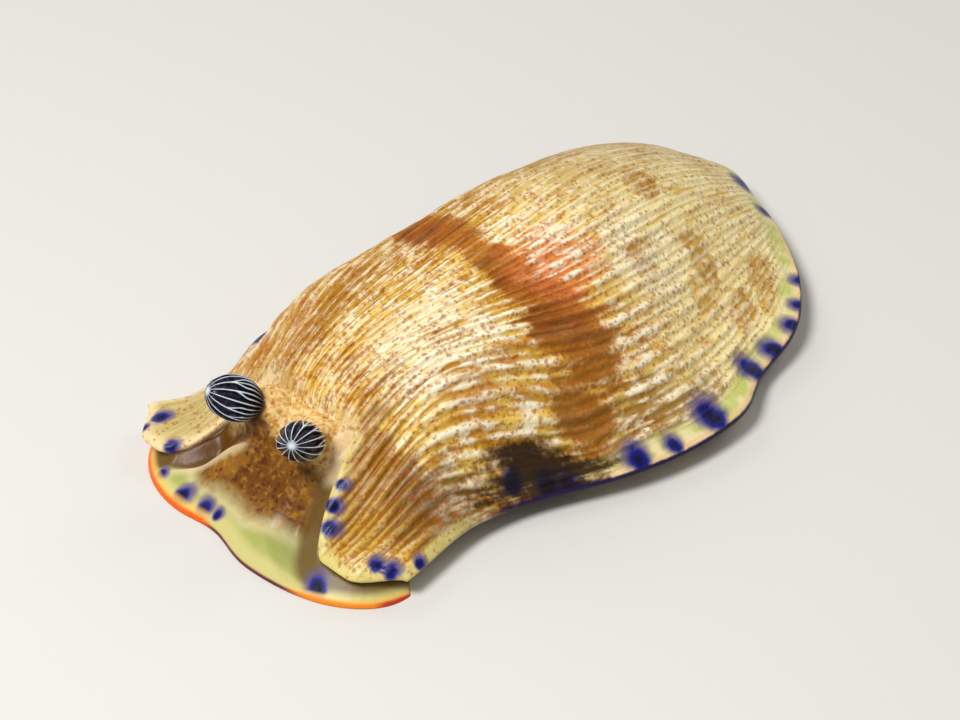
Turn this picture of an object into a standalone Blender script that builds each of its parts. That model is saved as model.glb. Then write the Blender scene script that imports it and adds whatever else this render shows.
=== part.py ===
# A sea slug, Dermatobranchus caeruleomaculatus, crawling on the sea floor, at life size.
# Its head points towards -Y, its own left side is +X, and its sole lies flat at z = 0.
# Sizes are in millimetres and are turned into metres when a mesh is made.

import math

import bmesh
import bpy
import numpy as np
from mathutils import Vector

MM = 0.001
GAP = 0.3

# The mantle, called the notum: a low dome drawn out over the whole back
NOTUM_HALF_WIDTH = 11.8
NOTUM_MID_Y = 3.0
NOTUM_REACH_REAR = 16.2
NOTUM_REACH_FRONT = 21.2
NOTUM_HEIGHT = 8.8
FRONT_RIM_HEIGHT = 5.2
REAR_RIM_HEIGHT = 1.8
MARGIN_HEIGHT = 1.55
NOTCH_DEPTH = 4.4
NOTCH_LEFT = 0.33
NOTCH_RIGHT = 0.41
NOTCH_SPREAD = 0.27
FLANK_HOLLOW = 0.9
RIM_INSET = 0.975
RIDGE_COUNT = 30
RIDGE_HEIGHT = 0.34
NOTUM_ROWS = 37
MARGIN_THICKNESS = 0.6
LOWEST_SKIRT = 0.92

# The underside of the mantle and the body's core that comes down from it
CORE_SHARE = 0.60
CORE_BOTTOM = 1.65
CEILING_SIDE = 2.5
CEILING_FRONT = 4.7

# The gill flaps that hang in a row under each side of the mantle
GILLS_A_SIDE = 22
GILL_DEPTH = 0.85
GILL_ROOT_THICKNESS = 0.55
GILL_TIP_THICKNESS = 0.25

# The foot
FOOT_FRONT_Y = -11.4
FOOT_REAR_Y = 18.2
TAIL_START_Y = 10.4
FOOT_HALF_WIDTH = 7.0
FOOT_THICKNESS = 1.35
FOOT_EDGE = 0.55

# The head and the oral veil in front of it
HEAD_MIDDLE_X = -0.1
HEAD_MID_Y = -15.5
HEAD_FRONT_Y = -18.7
HEAD_HALF_WIDTH = 4.3
NECK_SPREAD = 0.82
HEAD_TOP = 4.3
HEAD_EDGE = 1.15
HEAD_BOTTOM = 0.45
VEIL_LEFT_HALF_WIDTH = 9.4
VEIL_RIGHT_HALF_WIDTH = 7.9
VEIL_LEFT_REACH = 4.6
VEIL_RIGHT_REACH = 4.25
VEIL_SQUARENESS = 3.4
VEIL_DIP = 0.45
VEIL_EDGE = 0.55
VEIL_WING_REACH = 2.2

# The rhinophores, the pair of feelers on the head
CLUB_CENTRE = (2.35, -16.2, 5.5)
CLUB_LEAN = (0.41, -0.74, 0.51)
CLUB_LENGTH = 2.9
CLUB_RADIUS = 1.16
CLUB_LAMELLAE = 20
LAMELLA_DEPTH = 0.3
STALK_RADIUS = 0.62
STALK_BASE = (1.5, -14.7)


def smooth(low, high, value):
    """Go smoothly from 0 at low to 1 at high."""
    share = np.clip((value - low) / (high - low), 0.0, 1.0)
    return share * share * (3.0 - 2.0 * share)


def clear_scene():
    for thing in list(bpy.data.objects):
        bpy.data.objects.remove(thing, do_unlink=True)


def make_material(name, colour, roughness):
    material = bpy.data.materials.new(name)
    material.use_nodes = True
    shader = material.node_tree.nodes["Principled BSDF"]
    shader.inputs["Base Color"].default_value = (*colour, 1.0)
    shader.inputs["Roughness"].default_value = roughness
    shader.inputs["Metallic"].default_value = 0.0
    return material


def make_piece(name, points, faces, colour, roughness, parent):
    """Turn points in millimetres and faces into one closed, outward-facing object."""
    mesh = bpy.data.meshes.new(name)
    mesh.from_pydata([tuple(float(c) * MM for c in p) for p in points], [], faces)
    form = bmesh.new()
    form.from_mesh(mesh)
    bmesh.ops.recalc_face_normals(form, faces=form.faces)
    if form.calc_volume(signed=True) < 0.0:
        bmesh.ops.reverse_faces(form, faces=form.faces)
    bmesh.ops.triangulate(form, faces=form.faces)
    form.to_mesh(mesh)
    form.free()
    mesh.shade_smooth()
    mesh.set_sharp_from_angle(angle=math.radians(50))
    piece = bpy.data.objects.new(name, mesh)
    bpy.context.collection.objects.link(piece)
    piece.data.materials.append(make_material(name, colour, roughness))
    piece.parent = parent
    return piece


def union(piece, joined):
    """Fuse a list of closed pieces into one, and keep its largest closed surface."""
    group = bpy.data.collections.new("joined")
    for other in joined:
        group.objects.link(other)
    change = piece.modifiers.new("join", "BOOLEAN")
    change.operation = "UNION"
    change.operand_type = "COLLECTION"
    change.collection = group
    change.solver = "EXACT"
    depsgraph = bpy.context.evaluated_depsgraph_get()
    mesh = bpy.data.meshes.new_from_object(piece.evaluated_get(depsgraph))
    piece.modifiers.clear()
    piece.data = mesh
    for other in joined:
        bpy.data.objects.remove(other, do_unlink=True)
    bpy.data.collections.remove(group)
    keep_largest(piece)


def keep_largest(piece):
    form = bmesh.new()
    form.from_mesh(piece.data)
    waiting = set(form.faces)
    parts = []
    while waiting:
        front = [waiting.pop()]
        part = list(front)
        while front:
            face = front.pop()
            for edge in face.edges:
                for near in edge.link_faces:
                    if near in waiting:
                        waiting.remove(near)
                        front.append(near)
                        part.append(near)
        parts.append(part)
    parts.sort(key=len)
    for part in parts[:-1]:
        bmesh.ops.delete(form, geom=part, context="FACES")
    form.to_mesh(piece.data)
    form.free()


def stitch(first, second):
    """Join two closed loops of vertex numbers, which may differ in count, with triangles."""
    faces = []
    i = j = 0
    n, m = len(first), len(second)
    while i < n or j < m:
        if j >= m or (i < n and (i + 1) * m <= (j + 1) * n):
            faces.append((first[i % n], first[(i + 1) % n], second[j % m]))
            i += 1
        else:
            faces.append((first[i % n], second[(j + 1) % m], second[j % m]))
            j += 1
    return faces


def ring_faces(first, second):
    """Join two closed loops of the same count with four-sided faces."""
    n = len(first)
    return [(first[k], first[(k + 1) % n], second[(k + 1) % n], second[k]) for k in range(n)]


# The notum is laid out on two numbers. r runs across, from -1 at the animal's right margin to +1
# at its left one, and stays the same along a ridge. q runs from -1 in front to +1 behind.


def spine_x(y):
    """The body bends a little: the middle line swings to the right behind and in front."""
    return 0.1 + 0.8 * np.exp(-(((y + 3.0) / 9.0) ** 2)) - 1.5 * smooth(2.0, 22.0, y)


def width_share(q):
    front = 1.0 - 0.27 * smooth(0.0, 0.72, -q) + 0.06 * smooth(0.7, 1.0, -q)
    return np.where(q > 0.0, np.sqrt(1.0 - q * q / 2.0), front)


def fanned(r, q):
    """The ridges leave the front close together and fan out over the back."""
    fan = 0.42 * smooth(0.15, 1.0, -q)
    return r * (1.0 - fan * (1.0 - r * r))


def margin_wave(r, q):
    """The free margin is drawn out in shallow scallops."""
    turn = np.arctan2(r, q)
    reach = smooth(0.75, 1.0, np.maximum(np.abs(r), np.abs(q))) * smooth(-0.95, -0.55, q)
    wave = 0.75 * np.sin(8.5 * turn + 0.5) + 0.35 * np.sin(14.0 * turn + 0.6)
    return reach * wave * (0.72 + 0.28 * r)


def bend(p, q):
    """The mantle isn't quite the same on both sides: the right is straighter, the left sways out."""
    left = 0.55 * smooth(0.4, 1.0, p) * smooth(-0.75, -0.3, q)
    right = 1.15 * smooth(0.35, 1.0, -p) * smooth(-0.5, -0.05, q)
    shoulder = 0.5 * smooth(0.25, 0.9, -p) * smooth(-0.35, -0.55, q) * smooth(-1.0, -0.75, q)
    drawn_in = smooth(0.3, 1.0, -p) * smooth(-0.55, -0.78, q) * (1.0 - 0.9 * smooth(-0.86, -1.0, q))
    return left + right - shoulder + drawn_in


def notum_point(r, q):
    p = fanned(r, q)
    a = np.abs(p)
    x = NOTUM_HALF_WIDTH * p * width_share(q)
    rear = NOTUM_MID_Y + NOTUM_REACH_REAR * q * np.sqrt(1.0 - p * p / 2.0)
    front = NOTUM_MID_Y + NOTUM_REACH_FRONT * q
    y = np.where(q > 0.0, rear, front)
    start = np.where(p > 0.0, NOTCH_LEFT, NOTCH_RIGHT)
    notch = NOTCH_DEPTH * (1.0 - smooth(start, start + NOTCH_SPREAD, a) ** 0.5)
    notch = notch + 1.9 * smooth(0.74, 1.0, a) ** 1.5
    y = y + np.where(q < 0.0, notch * np.abs(q) ** 4, 0.0)
    wave = margin_wave(r, q)
    x = x * (1.0 + 0.032 * wave) + bend(p, q)
    y = y + 0.22 * wave * q
    rear_crest = REAR_RIM_HEIGHT + (NOTUM_HEIGHT - REAR_RIM_HEIGHT) * (1.0 - np.abs(q) ** 1.85)
    front_crest = FRONT_RIM_HEIGHT + (NOTUM_HEIGHT - FRONT_RIM_HEIGHT) * (1.0 - np.abs(q) ** 3.2)
    crest = np.where(q > 0.0, rear_crest, front_crest)
    fullness = 1.4 + 0.7 * smooth(0.05, 0.6, -q) - 0.25 * smooth(-0.15, 0.25, q)
    dome = 0.5 * (1.0 + np.cos(np.pi * a ** fullness))
    collar = 1.0 - smooth(0.30, 0.60, a)
    near_front = smooth(0.55, 1.0, -q)
    share = dome * (1.0 - near_front) + collar * near_front
    z = MARGIN_HEIGHT + (crest - MARGIN_HEIGHT) * share + 0.16 * wave
    waist = smooth(-0.72, -0.55, q) * (1.0 - smooth(-0.36, -0.18, q))
    hollow = smooth(0.5, 0.8, a) * (1.0 - smooth(0.84, 0.98, a)) * np.where(p > 0.0, 1.0, 0.55)
    z = z - FLANK_HOLLOW * hollow * waist
    return np.stack([x + spine_x(y), y, z], -1)


def notum_normal(r, q):
    step = 0.002
    across = notum_point(r + step, q) - notum_point(r - step, q)
    along = notum_point(r, q + step) - notum_point(r, q - step)
    normal = np.cross(across, along)
    return normal / np.linalg.norm(normal, axis=-1, keepdims=True)


def front_share(r, q):
    """1 over the head, where the mantle is held up clear of the rhinophores, and 0 elsewhere."""
    return (1.0 - smooth(0.42, 0.62, np.abs(fanned(r, q)))) * smooth(0.40, 0.62, -q)


def under_point(r, q, thickness):
    """A point of the mantle's underside: straight under the upper one, by more where that is steep."""
    point = notum_point(r, q)
    level = max(notum_normal(r, q)[2], 0.58)
    point[2] = max(point[2] - thickness / level, LOWEST_SKIRT)
    ceiling = CEILING_SIDE + (CEILING_FRONT - CEILING_SIDE) * front_share(r, q)
    if point[2] > ceiling:
        point[2] = ceiling
    return point


def boundary(columns, rows):
    """Grid numbers (column, row) round the edge of a grid, in order."""
    line = [(i, 0) for i in range(columns - 1)]
    line += [(columns - 1, j) for j in range(rows - 1)]
    line += [(i, rows - 1) for i in range(columns - 1, 0, -1)]
    line += [(0, j) for j in range(rows - 1, 0, -1)]
    return line


def notum_mesh():
    columns = 2 * RIDGE_COUNT + 1
    r_values = np.linspace(-1.0, 1.0, columns) * RIM_INSET
    q_values = np.linspace(-1.0, 1.0, NOTUM_ROWS) * RIM_INSET
    points = []
    for q in q_values:
        for i, r in enumerate(r_values):
            point = notum_point(np.float64(r), np.float64(q))
            if i % 2:
                reach = max(abs(r), abs(q))
                fade = (1.0 - smooth(0.84, 0.96, reach)) * (0.8 + 0.2 * math.sin(1.7 * i + 5.0 * q))
                point = point + notum_normal(r, q) * RIDGE_HEIGHT * fade
            points.append(point)
    faces = []
    for j in range(NOTUM_ROWS - 1):
        for i in range(columns - 1):
            a = j * columns + i
            faces.append((a, a + 1, a + columns + 1, a + columns))

    edge = boundary(columns, NOTUM_ROWS)
    top_loop = [j * columns + i for i, j in edge]
    rim = [(r_values[i] / RIM_INSET, q_values[j] / RIM_INSET) for i, j in edge]

    def add_loop(loop_points):
        start = len(points)
        points.extend(loop_points)
        return list(range(start, start + len(loop_points)))

    outer = []
    for r, q in rim:
        point = notum_point(r, q)
        point[2] -= MARGIN_THICKNESS / 2
        outer.append(point)
    last = add_loop(outer)
    faces += ring_faces(top_loop, last)

    half = rim[::2]
    for count, share in enumerate((RIM_INSET, 0.92, 0.86, 0.79, 0.71, 0.62)):
        loop = []
        for r, q in half:
            s = front_stretch(share, r, q)
            thickness = MARGIN_THICKNESS + 1.3 * (RIM_INSET - share)
            loop.append(under_point(r * s, q * s, thickness))
        new = add_loop(loop)
        faces += stitch(last, new) if count == 0 else ring_faces(last, new)
        last = new
    floor = []
    for r, q in half:
        s = front_stretch(CORE_SHARE, r, q)
        point = notum_point(r * s, q * s)
        point[2] = CORE_BOTTOM
        floor.append(point)
    new = add_loop(floor)
    faces += ring_faces(last, new)
    faces.append(tuple(new))
    return points, faces


def front_stretch(share, r, q):
    """The body's core reaches further forward under the head than it does sideways."""
    ahead = smooth(0.75, 1.0, -q)
    return 1.0 - (1.0 - share) * (1.0 - 0.35 * ahead)


def gill_mesh(side, share):
    """One flap: a thin tapered blade across the mantle's underside, slanting back."""
    q = -0.36 + 1.06 * share
    slant = 0.05 + 0.07 * share
    inner = 0.68
    outer = 0.90 - 0.05 * abs(2.0 * share - 1.0) ** 2
    points = []
    for s, turn in ((inner, 0.0), (outer, slant)):
        place = np.float64(side * s)
        root = under_point(place, q + turn, MARGIN_THICKNESS + 1.3 * (RIM_INSET - s))
        along = notum_point(place, q + turn + 0.01) - notum_point(place, q + turn - 0.01)
        along[2] = 0.0
        along /= np.linalg.norm(along)
        drop = GILL_DEPTH if s == inner else 0.45 * GILL_DEPTH
        for depth, thick in ((-0.32, GILL_ROOT_THICKNESS), (drop, GILL_TIP_THICKNESS)):
            for way in (-0.5, 0.5):
                point = root + along * way * thick
                point[2] -= depth
                points.append(point)
    faces = [(0, 1, 3, 2), (4, 6, 7, 5), (0, 2, 6, 4), (1, 5, 7, 3), (0, 4, 5, 1), (2, 3, 7, 6)]
    return points, faces


def make_notum(parent):
    colour, roughness = (0.48, 0.27, 0.08), 0.35
    points, faces = notum_mesh()
    notum = make_piece("notum", points, faces, colour, roughness, parent)
    flaps = []
    for side in (-1.0, 1.0):
        for k in range(GILLS_A_SIDE):
            flap_points, flap_faces = gill_mesh(side, k / (GILLS_A_SIDE - 1))
            flaps.append(make_piece("gill", flap_points, flap_faces, colour, roughness, parent))
    union(notum, flaps)


def foot_half_width(y):
    """Broad behind the head and drawn out to a point at the tail."""
    along = (y - FOOT_FRONT_Y) / (FOOT_REAR_Y - FOOT_FRONT_Y)
    front = np.sqrt(1.0 - (1.0 - smooth(0.0, 0.13, along)) ** 2 * 0.55)
    return FOOT_HALF_WIDTH * front * (1.0 - 0.96 * np.clip((along - 0.3) / 0.7, 0.0, 1.0) ** 2.2)


def foot_section(y):
    """Six points round the foot: a flat sole, a thin flared edge and a raised top."""
    half = max(float(foot_half_width(y)), 0.35)
    middle = float(spine_x(y))
    shoulder = max(half - 1.1, 0.5 * half)
    top = FOOT_THICKNESS if half > 1.6 else FOOT_THICKNESS * (0.55 + 0.28 * half)
    return [
        (middle - half + 0.15, y, 0.0),
        (middle + half - 0.15, y, 0.0),
        (middle + half, y, FOOT_EDGE * 0.6),
        (middle + shoulder, y, top),
        (middle - shoulder, y, top),
        (middle - half, y, FOOT_EDGE * 0.6),
    ]


def strip_mesh(sections):
    """Join cross-sections of the same count into one closed form with capped ends."""
    n = len(sections[0])
    points = [p for section in sections for p in section]
    faces = []
    for k in range(len(sections) - 1):
        first = list(range(k * n, k * n + n))
        second = list(range((k + 1) * n, (k + 1) * n + n))
        faces += ring_faces(first, second)
    faces.append(tuple(range(n)))
    faces.append(tuple(range((len(sections) - 1) * n, len(sections) * n)))
    return points, faces


def make_foot(parent):
    stations = np.concatenate([[0.0, 0.25, 0.8], np.linspace(1.6, TAIL_START_Y - FOOT_FRONT_Y, 18)])
    points, faces = strip_mesh([foot_section(FOOT_FRONT_Y + s) for s in stations])
    make_piece("foot", points, faces, (0.62, 0.50, 0.33), 0.4, parent)
    stations = np.linspace(TAIL_START_Y + GAP, FOOT_REAR_Y, 9)
    points, faces = strip_mesh([foot_section(y) for y in stations])
    make_piece("tail", points, faces, (0.62, 0.50, 0.33), 0.4, parent)


def head_point(u, v, grow=0.0):
    """The head seen from above. u runs across, v from 0 at the neck to 1 at the front edge."""
    w = max((v - 0.5) / 0.5, 0.0)
    x = (HEAD_HALF_WIDTH + grow) * u * math.sqrt(1.0 - w * w / 2.0)
    y = HEAD_MID_Y + (HEAD_FRONT_Y - grow - HEAD_MID_Y) * w * math.sqrt(1.0 - u * u / 2.0)
    x += HEAD_MIDDLE_X
    if v < 0.5:
        stretch = front_stretch(CORE_SHARE, NECK_SPREAD * u, -1.0)
        core = notum_point(NECK_SPREAD * u * stretch, -stretch)
        back = 1.0 - v / 0.5
        x += (core[0] - x) * back
        y += (core[1] - GAP - y) * back
    return x, y


def head_height(u, v):
    crown = HEAD_TOP - (HEAD_TOP - HEAD_EDGE) * float(smooth(0.2, 1.0, v))
    square = 2.4 + 2.0 * (1.0 - float(smooth(0.2, 0.6, v)))
    side = (1.0 - abs(u) ** square) ** 0.85
    return HEAD_EDGE + (crown - HEAD_EDGE) * side


def head_mesh(across=16, along=14):
    points = []
    for j in range(along + 1):
        for i in range(across + 1):
            u, v = 2.0 * i / across - 1.0, j / along
            x, y = head_point(u, v)
            points.append((x, y, head_height(u, v)))
    columns = across + 1
    faces = []
    for j in range(along):
        for i in range(across):
            a = j * columns + i
            faces.append((a, a + 1, a + columns + 1, a + columns))
    edge = boundary(columns, along + 1)
    loop = [j * columns + i for i, j in edge]
    start = len(points)
    for number in loop:
        x, y, z = points[number]
        points.append((x, y, HEAD_BOTTOM))
    base = list(range(start, start + len(loop)))
    faces += ring_faces(loop, base)
    faces.append(tuple(base))
    return points, faces


def lip_mesh(side):
    """One lip: a curved, tapering fold beside the upright slit of the mouth."""
    sections = []
    for k in range(9):
        share = k / 8 * 2.0 - 1.0
        swell = math.sqrt(max(1.0 - share * share, 0.0))
        y = -16.4 + 1.5 * share
        x = HEAD_MIDDLE_X + side * (0.34 + 0.35 * swell)
        size = 0.16 + 0.18 * swell
        ring = []
        for n in range(8):
            turn = 2.0 * math.pi * n / 8
            ring.append((x + size * math.cos(turn), y, HEAD_BOTTOM + 0.02 + size * math.sin(turn)))
        sections.append(ring)
    return strip_mesh(sections)


def make_head(parent):
    colour, roughness = (0.42, 0.25, 0.10), 0.35
    points, faces = head_mesh()
    head = make_piece("head", points, faces, colour, roughness, parent)
    lips = []
    for side in (-1.0, 1.0):
        lip_points, lip_faces = lip_mesh(side)
        lips.append(make_piece("lip", lip_points, lip_faces, colour, roughness, parent))
    union(head, lips)


def veil_outer(turn):
    """The veil's free front margin, from -90 to 90 degrees round the head."""
    s, c = math.sin(turn), max(math.cos(turn), 0.0)
    half_width = VEIL_LEFT_HALF_WIDTH if s > 0.0 else VEIL_RIGHT_HALF_WIDTH
    x = half_width * math.copysign(abs(s) ** (2.0 / VEIL_SQUARENESS), s)
    reach = VEIL_RIGHT_REACH + (VEIL_LEFT_REACH - VEIL_RIGHT_REACH) * float(smooth(-2.5, 2.5, x))
    y = HEAD_MID_Y - reach * c
    y += VEIL_DIP * math.exp(-(((x + 0.6) / 1.8) ** 2))
    return x, y - 0.5 * abs(s) ** 8


def veil_inner(turn):
    """The veil's root, kept clear of the head's own edge."""
    s = math.sin(turn)
    side = abs(s) ** 3
    u = math.copysign(min(abs(math.tan(turn)) if abs(turn) < 0.78 else 1.0, 1.0), s)
    w = min(1.0 / abs(math.tan(turn)), 1.0) if abs(turn) > 0.78 else 1.0
    x, y = head_point(u, 0.5 + 0.5 * w, grow=GAP)
    return x, y + VEIL_WING_REACH * max(side - 0.9, 0.0) / 0.1


def make_veil(parent):
    steps = 44
    across = (0.0, 0.02, 0.08, 0.3, 0.62, 1.0)
    sections = []
    for k in range(steps + 1):
        turn = math.radians(-90.0 + 180.0 * k / steps)
        ox, oy = veil_outer(turn)
        ix, iy = veil_inner(turn)
        wing = float(smooth(0.35, 0.85, abs(math.sin(turn))))
        root = HEAD_EDGE - 0.52 * wing
        ring = []
        for share in across:
            if share == 0.0:
                z = 0.22
            else:
                rise = share ** (1.2 + 2.6 * wing)
                z = VEIL_EDGE * min(1.0, 0.72 + 3.5 * share) + (root - VEIL_EDGE) * rise
            ring.append((ox + (ix - ox) * share, oy + (iy - oy) * share, z))
        ring.append((ix, iy, 0.0))
        ring.append((ox + (ix - ox) * 0.05, oy + (iy - oy) * 0.05, 0.0))
        sections.append(ring)
    points, faces = strip_mesh(sections)
    make_piece("oral_veil", points, faces, (0.72, 0.62, 0.36), 0.35, parent)


def club_mesh():
    """A club standing on +Z, with upright plates that thin out towards the tip."""
    rings = 10
    count = 2 * CLUB_LAMELLAE
    points = []
    for j in range(rings + 1):
        share = j / rings
        radius = CLUB_RADIUS * (0.52 + 0.48 * math.sin(math.pi * min(share / 0.42, 1.0) / 2.0))
        if share > 0.42:
            radius = CLUB_RADIUS * math.sqrt(max(1.0 - ((share - 0.42) / 0.6) ** 2.2, 0.02))
        for i in range(count):
            turn = 2.0 * math.pi * i / count
            depth = 0.0
            if i % 2:
                fork = 1.0 if (i // 2) % 2 else 1.0 - float(smooth(0.55, 0.75, share))
                foot = 0.4 + 0.6 * float(smooth(0.0, 0.15, share))
                depth = LAMELLA_DEPTH * fork * foot * (1.0 - 0.6 * share)
            reach = radius - depth
            points.append((reach * math.cos(turn), reach * math.sin(turn), CLUB_LENGTH * (share - 0.5)))
    faces = []
    for j in range(rings):
        first = list(range(j * count, j * count + count))
        second = list(range((j + 1) * count, (j + 1) * count + count))
        faces += ring_faces(first, second)
    faces.append(tuple(range(count)))
    points.append((0.0, 0.0, CLUB_LENGTH * 0.5 + 0.08))
    last = len(points) - 1
    faces += [(rings * count + k, rings * count + (k + 1) % count, last) for k in range(count)]
    return points, faces


def make_rhinophore(name, side, parent):
    lean = Vector((side * CLUB_LEAN[0], CLUB_LEAN[1], CLUB_LEAN[2])).normalized()
    middle = Vector((side * CLUB_CENTRE[0], CLUB_CENTRE[1], CLUB_CENTRE[2]))
    points, faces = club_mesh()
    club = make_piece("rhinophore_club_" + name, points, faces, (0.03, 0.03, 0.05), 0.4, parent)
    club.rotation_mode = "QUATERNION"
    club.rotation_quaternion = lean.to_track_quat("Z", "Y")
    club.location = middle * MM

    top = middle - lean * (CLUB_LENGTH / 2 + GAP)
    foot_x, foot_y = side * STALK_BASE[0], STALK_BASE[1]
    count = 14
    bands = 5
    turn_to = lean.to_track_quat("Z", "Y")
    points = []
    for j in range(bands):
        share = j / (bands - 1)
        radius = STALK_RADIUS * (1.18 - 0.3 * math.sin(math.pi * min(share * 1.2, 1.0)) * 0.6)
        for i in range(count):
            turn = 2.0 * math.pi * i / count
            ring = turn_to @ Vector((radius * math.cos(turn), radius * math.sin(turn), 0.0))
            high = top + ring
            low_x = foot_x + radius * 1.1 * math.cos(turn)
            low_y = foot_y + radius * 1.1 * math.sin(turn)
            low = Vector((low_x, low_y, head_surface(low_x, low_y) + GAP))
            points.append(tuple(low.lerp(high, share)))
    faces = []
    for j in range(bands - 1):
        first = list(range(j * count, j * count + count))
        second = list(range((j + 1) * count, (j + 1) * count + count))
        faces += ring_faces(first, second)
    faces.append(tuple(range(count)))
    faces.append(tuple(range((bands - 1) * count, bands * count)))
    make_piece("rhinophore_stalk_" + name, points, faces, (0.60, 0.42, 0.22), 0.35, parent)


def head_surface(x, y):
    """Height of the head at a place, found by halving the steps in v and u."""
    low, high = 0.0, 1.0
    for _ in range(30):
        middle = (low + high) / 2
        if head_point(0.0, middle)[1] > y:
            low = middle
        else:
            high = middle
    v = (low + high) / 2
    centre = head_point(0.0, v)[0]
    half = head_point(1.0, v)[0] - centre
    return head_height(max(-0.98, min(0.98, (x - centre) / half)), v)


def main():
    clear_scene()
    root = bpy.data.objects.new("nudibranch", None)
    bpy.context.collection.objects.link(root)
    make_notum(root)
    make_foot(root)
    make_head(root)
    make_veil(root)
    make_rhinophore("left", 1.0, root)
    make_rhinophore("right", -1.0, root)


main()
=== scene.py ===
# %% [markdown]
# # A sea slug, *Dermatobranchus caeruleomaculatus*, at life size
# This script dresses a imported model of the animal. The model is the fixed frame: it gives the
# size, the place and the main forms, and nothing here moves or resizes it. Millimetres are used
# in the functions, because the animal is about 40 mm long, and they become metres in the meshes.

# %% Load the fixed frame
import math

import bmesh
import bpy
import numpy as np
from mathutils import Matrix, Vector


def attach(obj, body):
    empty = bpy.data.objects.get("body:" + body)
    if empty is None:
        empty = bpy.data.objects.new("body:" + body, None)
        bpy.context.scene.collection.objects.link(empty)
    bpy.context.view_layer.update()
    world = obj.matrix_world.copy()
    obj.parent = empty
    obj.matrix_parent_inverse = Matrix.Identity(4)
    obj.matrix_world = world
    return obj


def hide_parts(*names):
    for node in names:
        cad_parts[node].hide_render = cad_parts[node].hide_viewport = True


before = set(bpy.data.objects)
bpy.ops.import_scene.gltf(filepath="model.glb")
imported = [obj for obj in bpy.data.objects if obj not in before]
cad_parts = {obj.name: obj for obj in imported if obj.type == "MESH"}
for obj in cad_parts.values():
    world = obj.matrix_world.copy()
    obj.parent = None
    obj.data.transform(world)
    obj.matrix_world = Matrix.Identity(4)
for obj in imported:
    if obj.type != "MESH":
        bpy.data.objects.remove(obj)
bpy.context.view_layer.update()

MM = 0.001
print("nodes:", sorted(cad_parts))

# %% [markdown]
# ## The camera
# The photograph looks down on the animal from its front left. A long lens far away keeps the
# proportions that a macro lens gives, and a small shift frames the animal without tilting it.

# %% Stand the camera where the photographer was
CAMERA_AZIMUTH = 44.0
CAMERA_ELEVATION = 38.0
CAMERA_DISTANCE = 150.0
LOOK_AT = Vector((-1.5, 0.0, 1.0))


def put_object(name, data):
    made = bpy.data.objects.new(name, data)
    bpy.context.collection.objects.link(made)
    return made


def aim(thing, target, azimuth, elevation, distance):
    """Stand a camera or a lamp away from a target, at angles in degrees, and turn it to look there."""
    a, e = math.radians(azimuth), math.radians(elevation)
    back = Vector((math.sin(a) * math.cos(e), -math.cos(a) * math.cos(e), math.sin(e)))
    thing.location = (target + back * distance) * MM
    thing.rotation_mode = "QUATERNION"
    thing.rotation_quaternion = back.to_track_quat("Z", "Y")


lens = bpy.data.cameras.new("camera")
lens.lens = 108.0
lens.sensor_width = 36.0
lens.shift_y = -30.0 / 960.0
lens.clip_start = 0.001
lens.clip_end = 5.0
camera = put_object("camera", lens)
aim(camera, LOOK_AT, CAMERA_AZIMUTH, CAMERA_ELEVATION, CAMERA_DISTANCE)
bpy.context.scene.camera = camera
print("camera at", [round(c, 4) for c in camera.location])

# %% [markdown]
# ## The plan of the back
# The back, or notum, is a rounded sheet drawn out from a high middle to a thin free margin. Two
# numbers name each place on it: r runs across, from -1 at the animal's right margin to +1 at its
# left, and q runs from -1 in front to +1 behind. Ridges follow lines of equal r, so a colour or
# a ridge written in r and q follows the animal. The same formulas gave the frame its form.

# %% Write down the form of the back
NOTUM_HALF_WIDTH = 11.8
NOTUM_MID_Y = 3.0
NOTUM_REACH_REAR = 16.2
NOTUM_REACH_FRONT = 21.2
NOTUM_HEIGHT = 8.8
FRONT_RIM_HEIGHT = 5.0
REAR_RIM_HEIGHT = 1.8
MARGIN_HEIGHT = 1.55
NOTCH_DEPTH = 4.4
MARGIN_THICKNESS = 0.6
LOWEST_SKIRT = 0.92
CORE_SHARE = 0.60
CEILING_SIDE = 2.5
CEILING_FRONT = 4.4
GRID_SHARE = 0.955
RIDGE_SHARE = 0.975


def smooth(low, high, value):
    """Go smoothly from 0 at low to 1 at high."""
    share = np.clip((value - low) / (high - low), 0.0, 1.0)
    return share * share * (3.0 - 2.0 * share)


def spine_x(y):
    """The body bends a little: the middle line swings to the right behind and in front."""
    return 0.1 + 0.8 * np.exp(-(((y + 3.0) / 9.0) ** 2)) - 1.5 * smooth(2.0, 22.0, y)


def width_share(q):
    """How wide the back is along its length, as a share of its widest."""
    front = 1.0 - 0.27 * smooth(0.0, 0.72, -q) + 0.06 * smooth(0.7, 1.0, -q)
    return np.where(q > 0.0, np.sqrt(np.maximum(1.0 - q * q / 2.0, 0.0)), front)


def fanned(r, q):
    """The ridges leave the front close together and fan out over the back."""
    fan = 0.42 * smooth(0.15, 1.0, -q)
    return r * (1.0 - fan * (1.0 - r * r))


def margin_wave(r, q):
    """The free margin is drawn out in shallow scallops."""
    turn = np.arctan2(r, q)
    reach = smooth(0.75, 1.0, np.maximum(np.abs(r), np.abs(q))) * smooth(-0.95, -0.55, q)
    wave = 0.75 * np.sin(8.5 * turn + 0.5) + 0.35 * np.sin(14.0 * turn + 0.6)
    return reach * wave * (0.72 + 0.28 * r)


def sway(p, q):
    """The two sides differ: the right one is straighter, the left one sways out."""
    left = 0.55 * smooth(0.4, 1.0, p) * smooth(-0.75, -0.3, q)
    right = 1.15 * smooth(0.35, 1.0, -p) * smooth(-0.5, -0.05, q)
    shoulder = 0.5 * smooth(0.25, 0.9, -p) * smooth(-0.35, -0.55, q) * smooth(-1.0, -0.75, q)
    drawn_in = smooth(0.3, 1.0, -p) * smooth(-0.55, -0.78, q) * (1.0 - 0.9 * smooth(-0.86, -1.0, q))
    return left + right - shoulder + drawn_in


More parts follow.
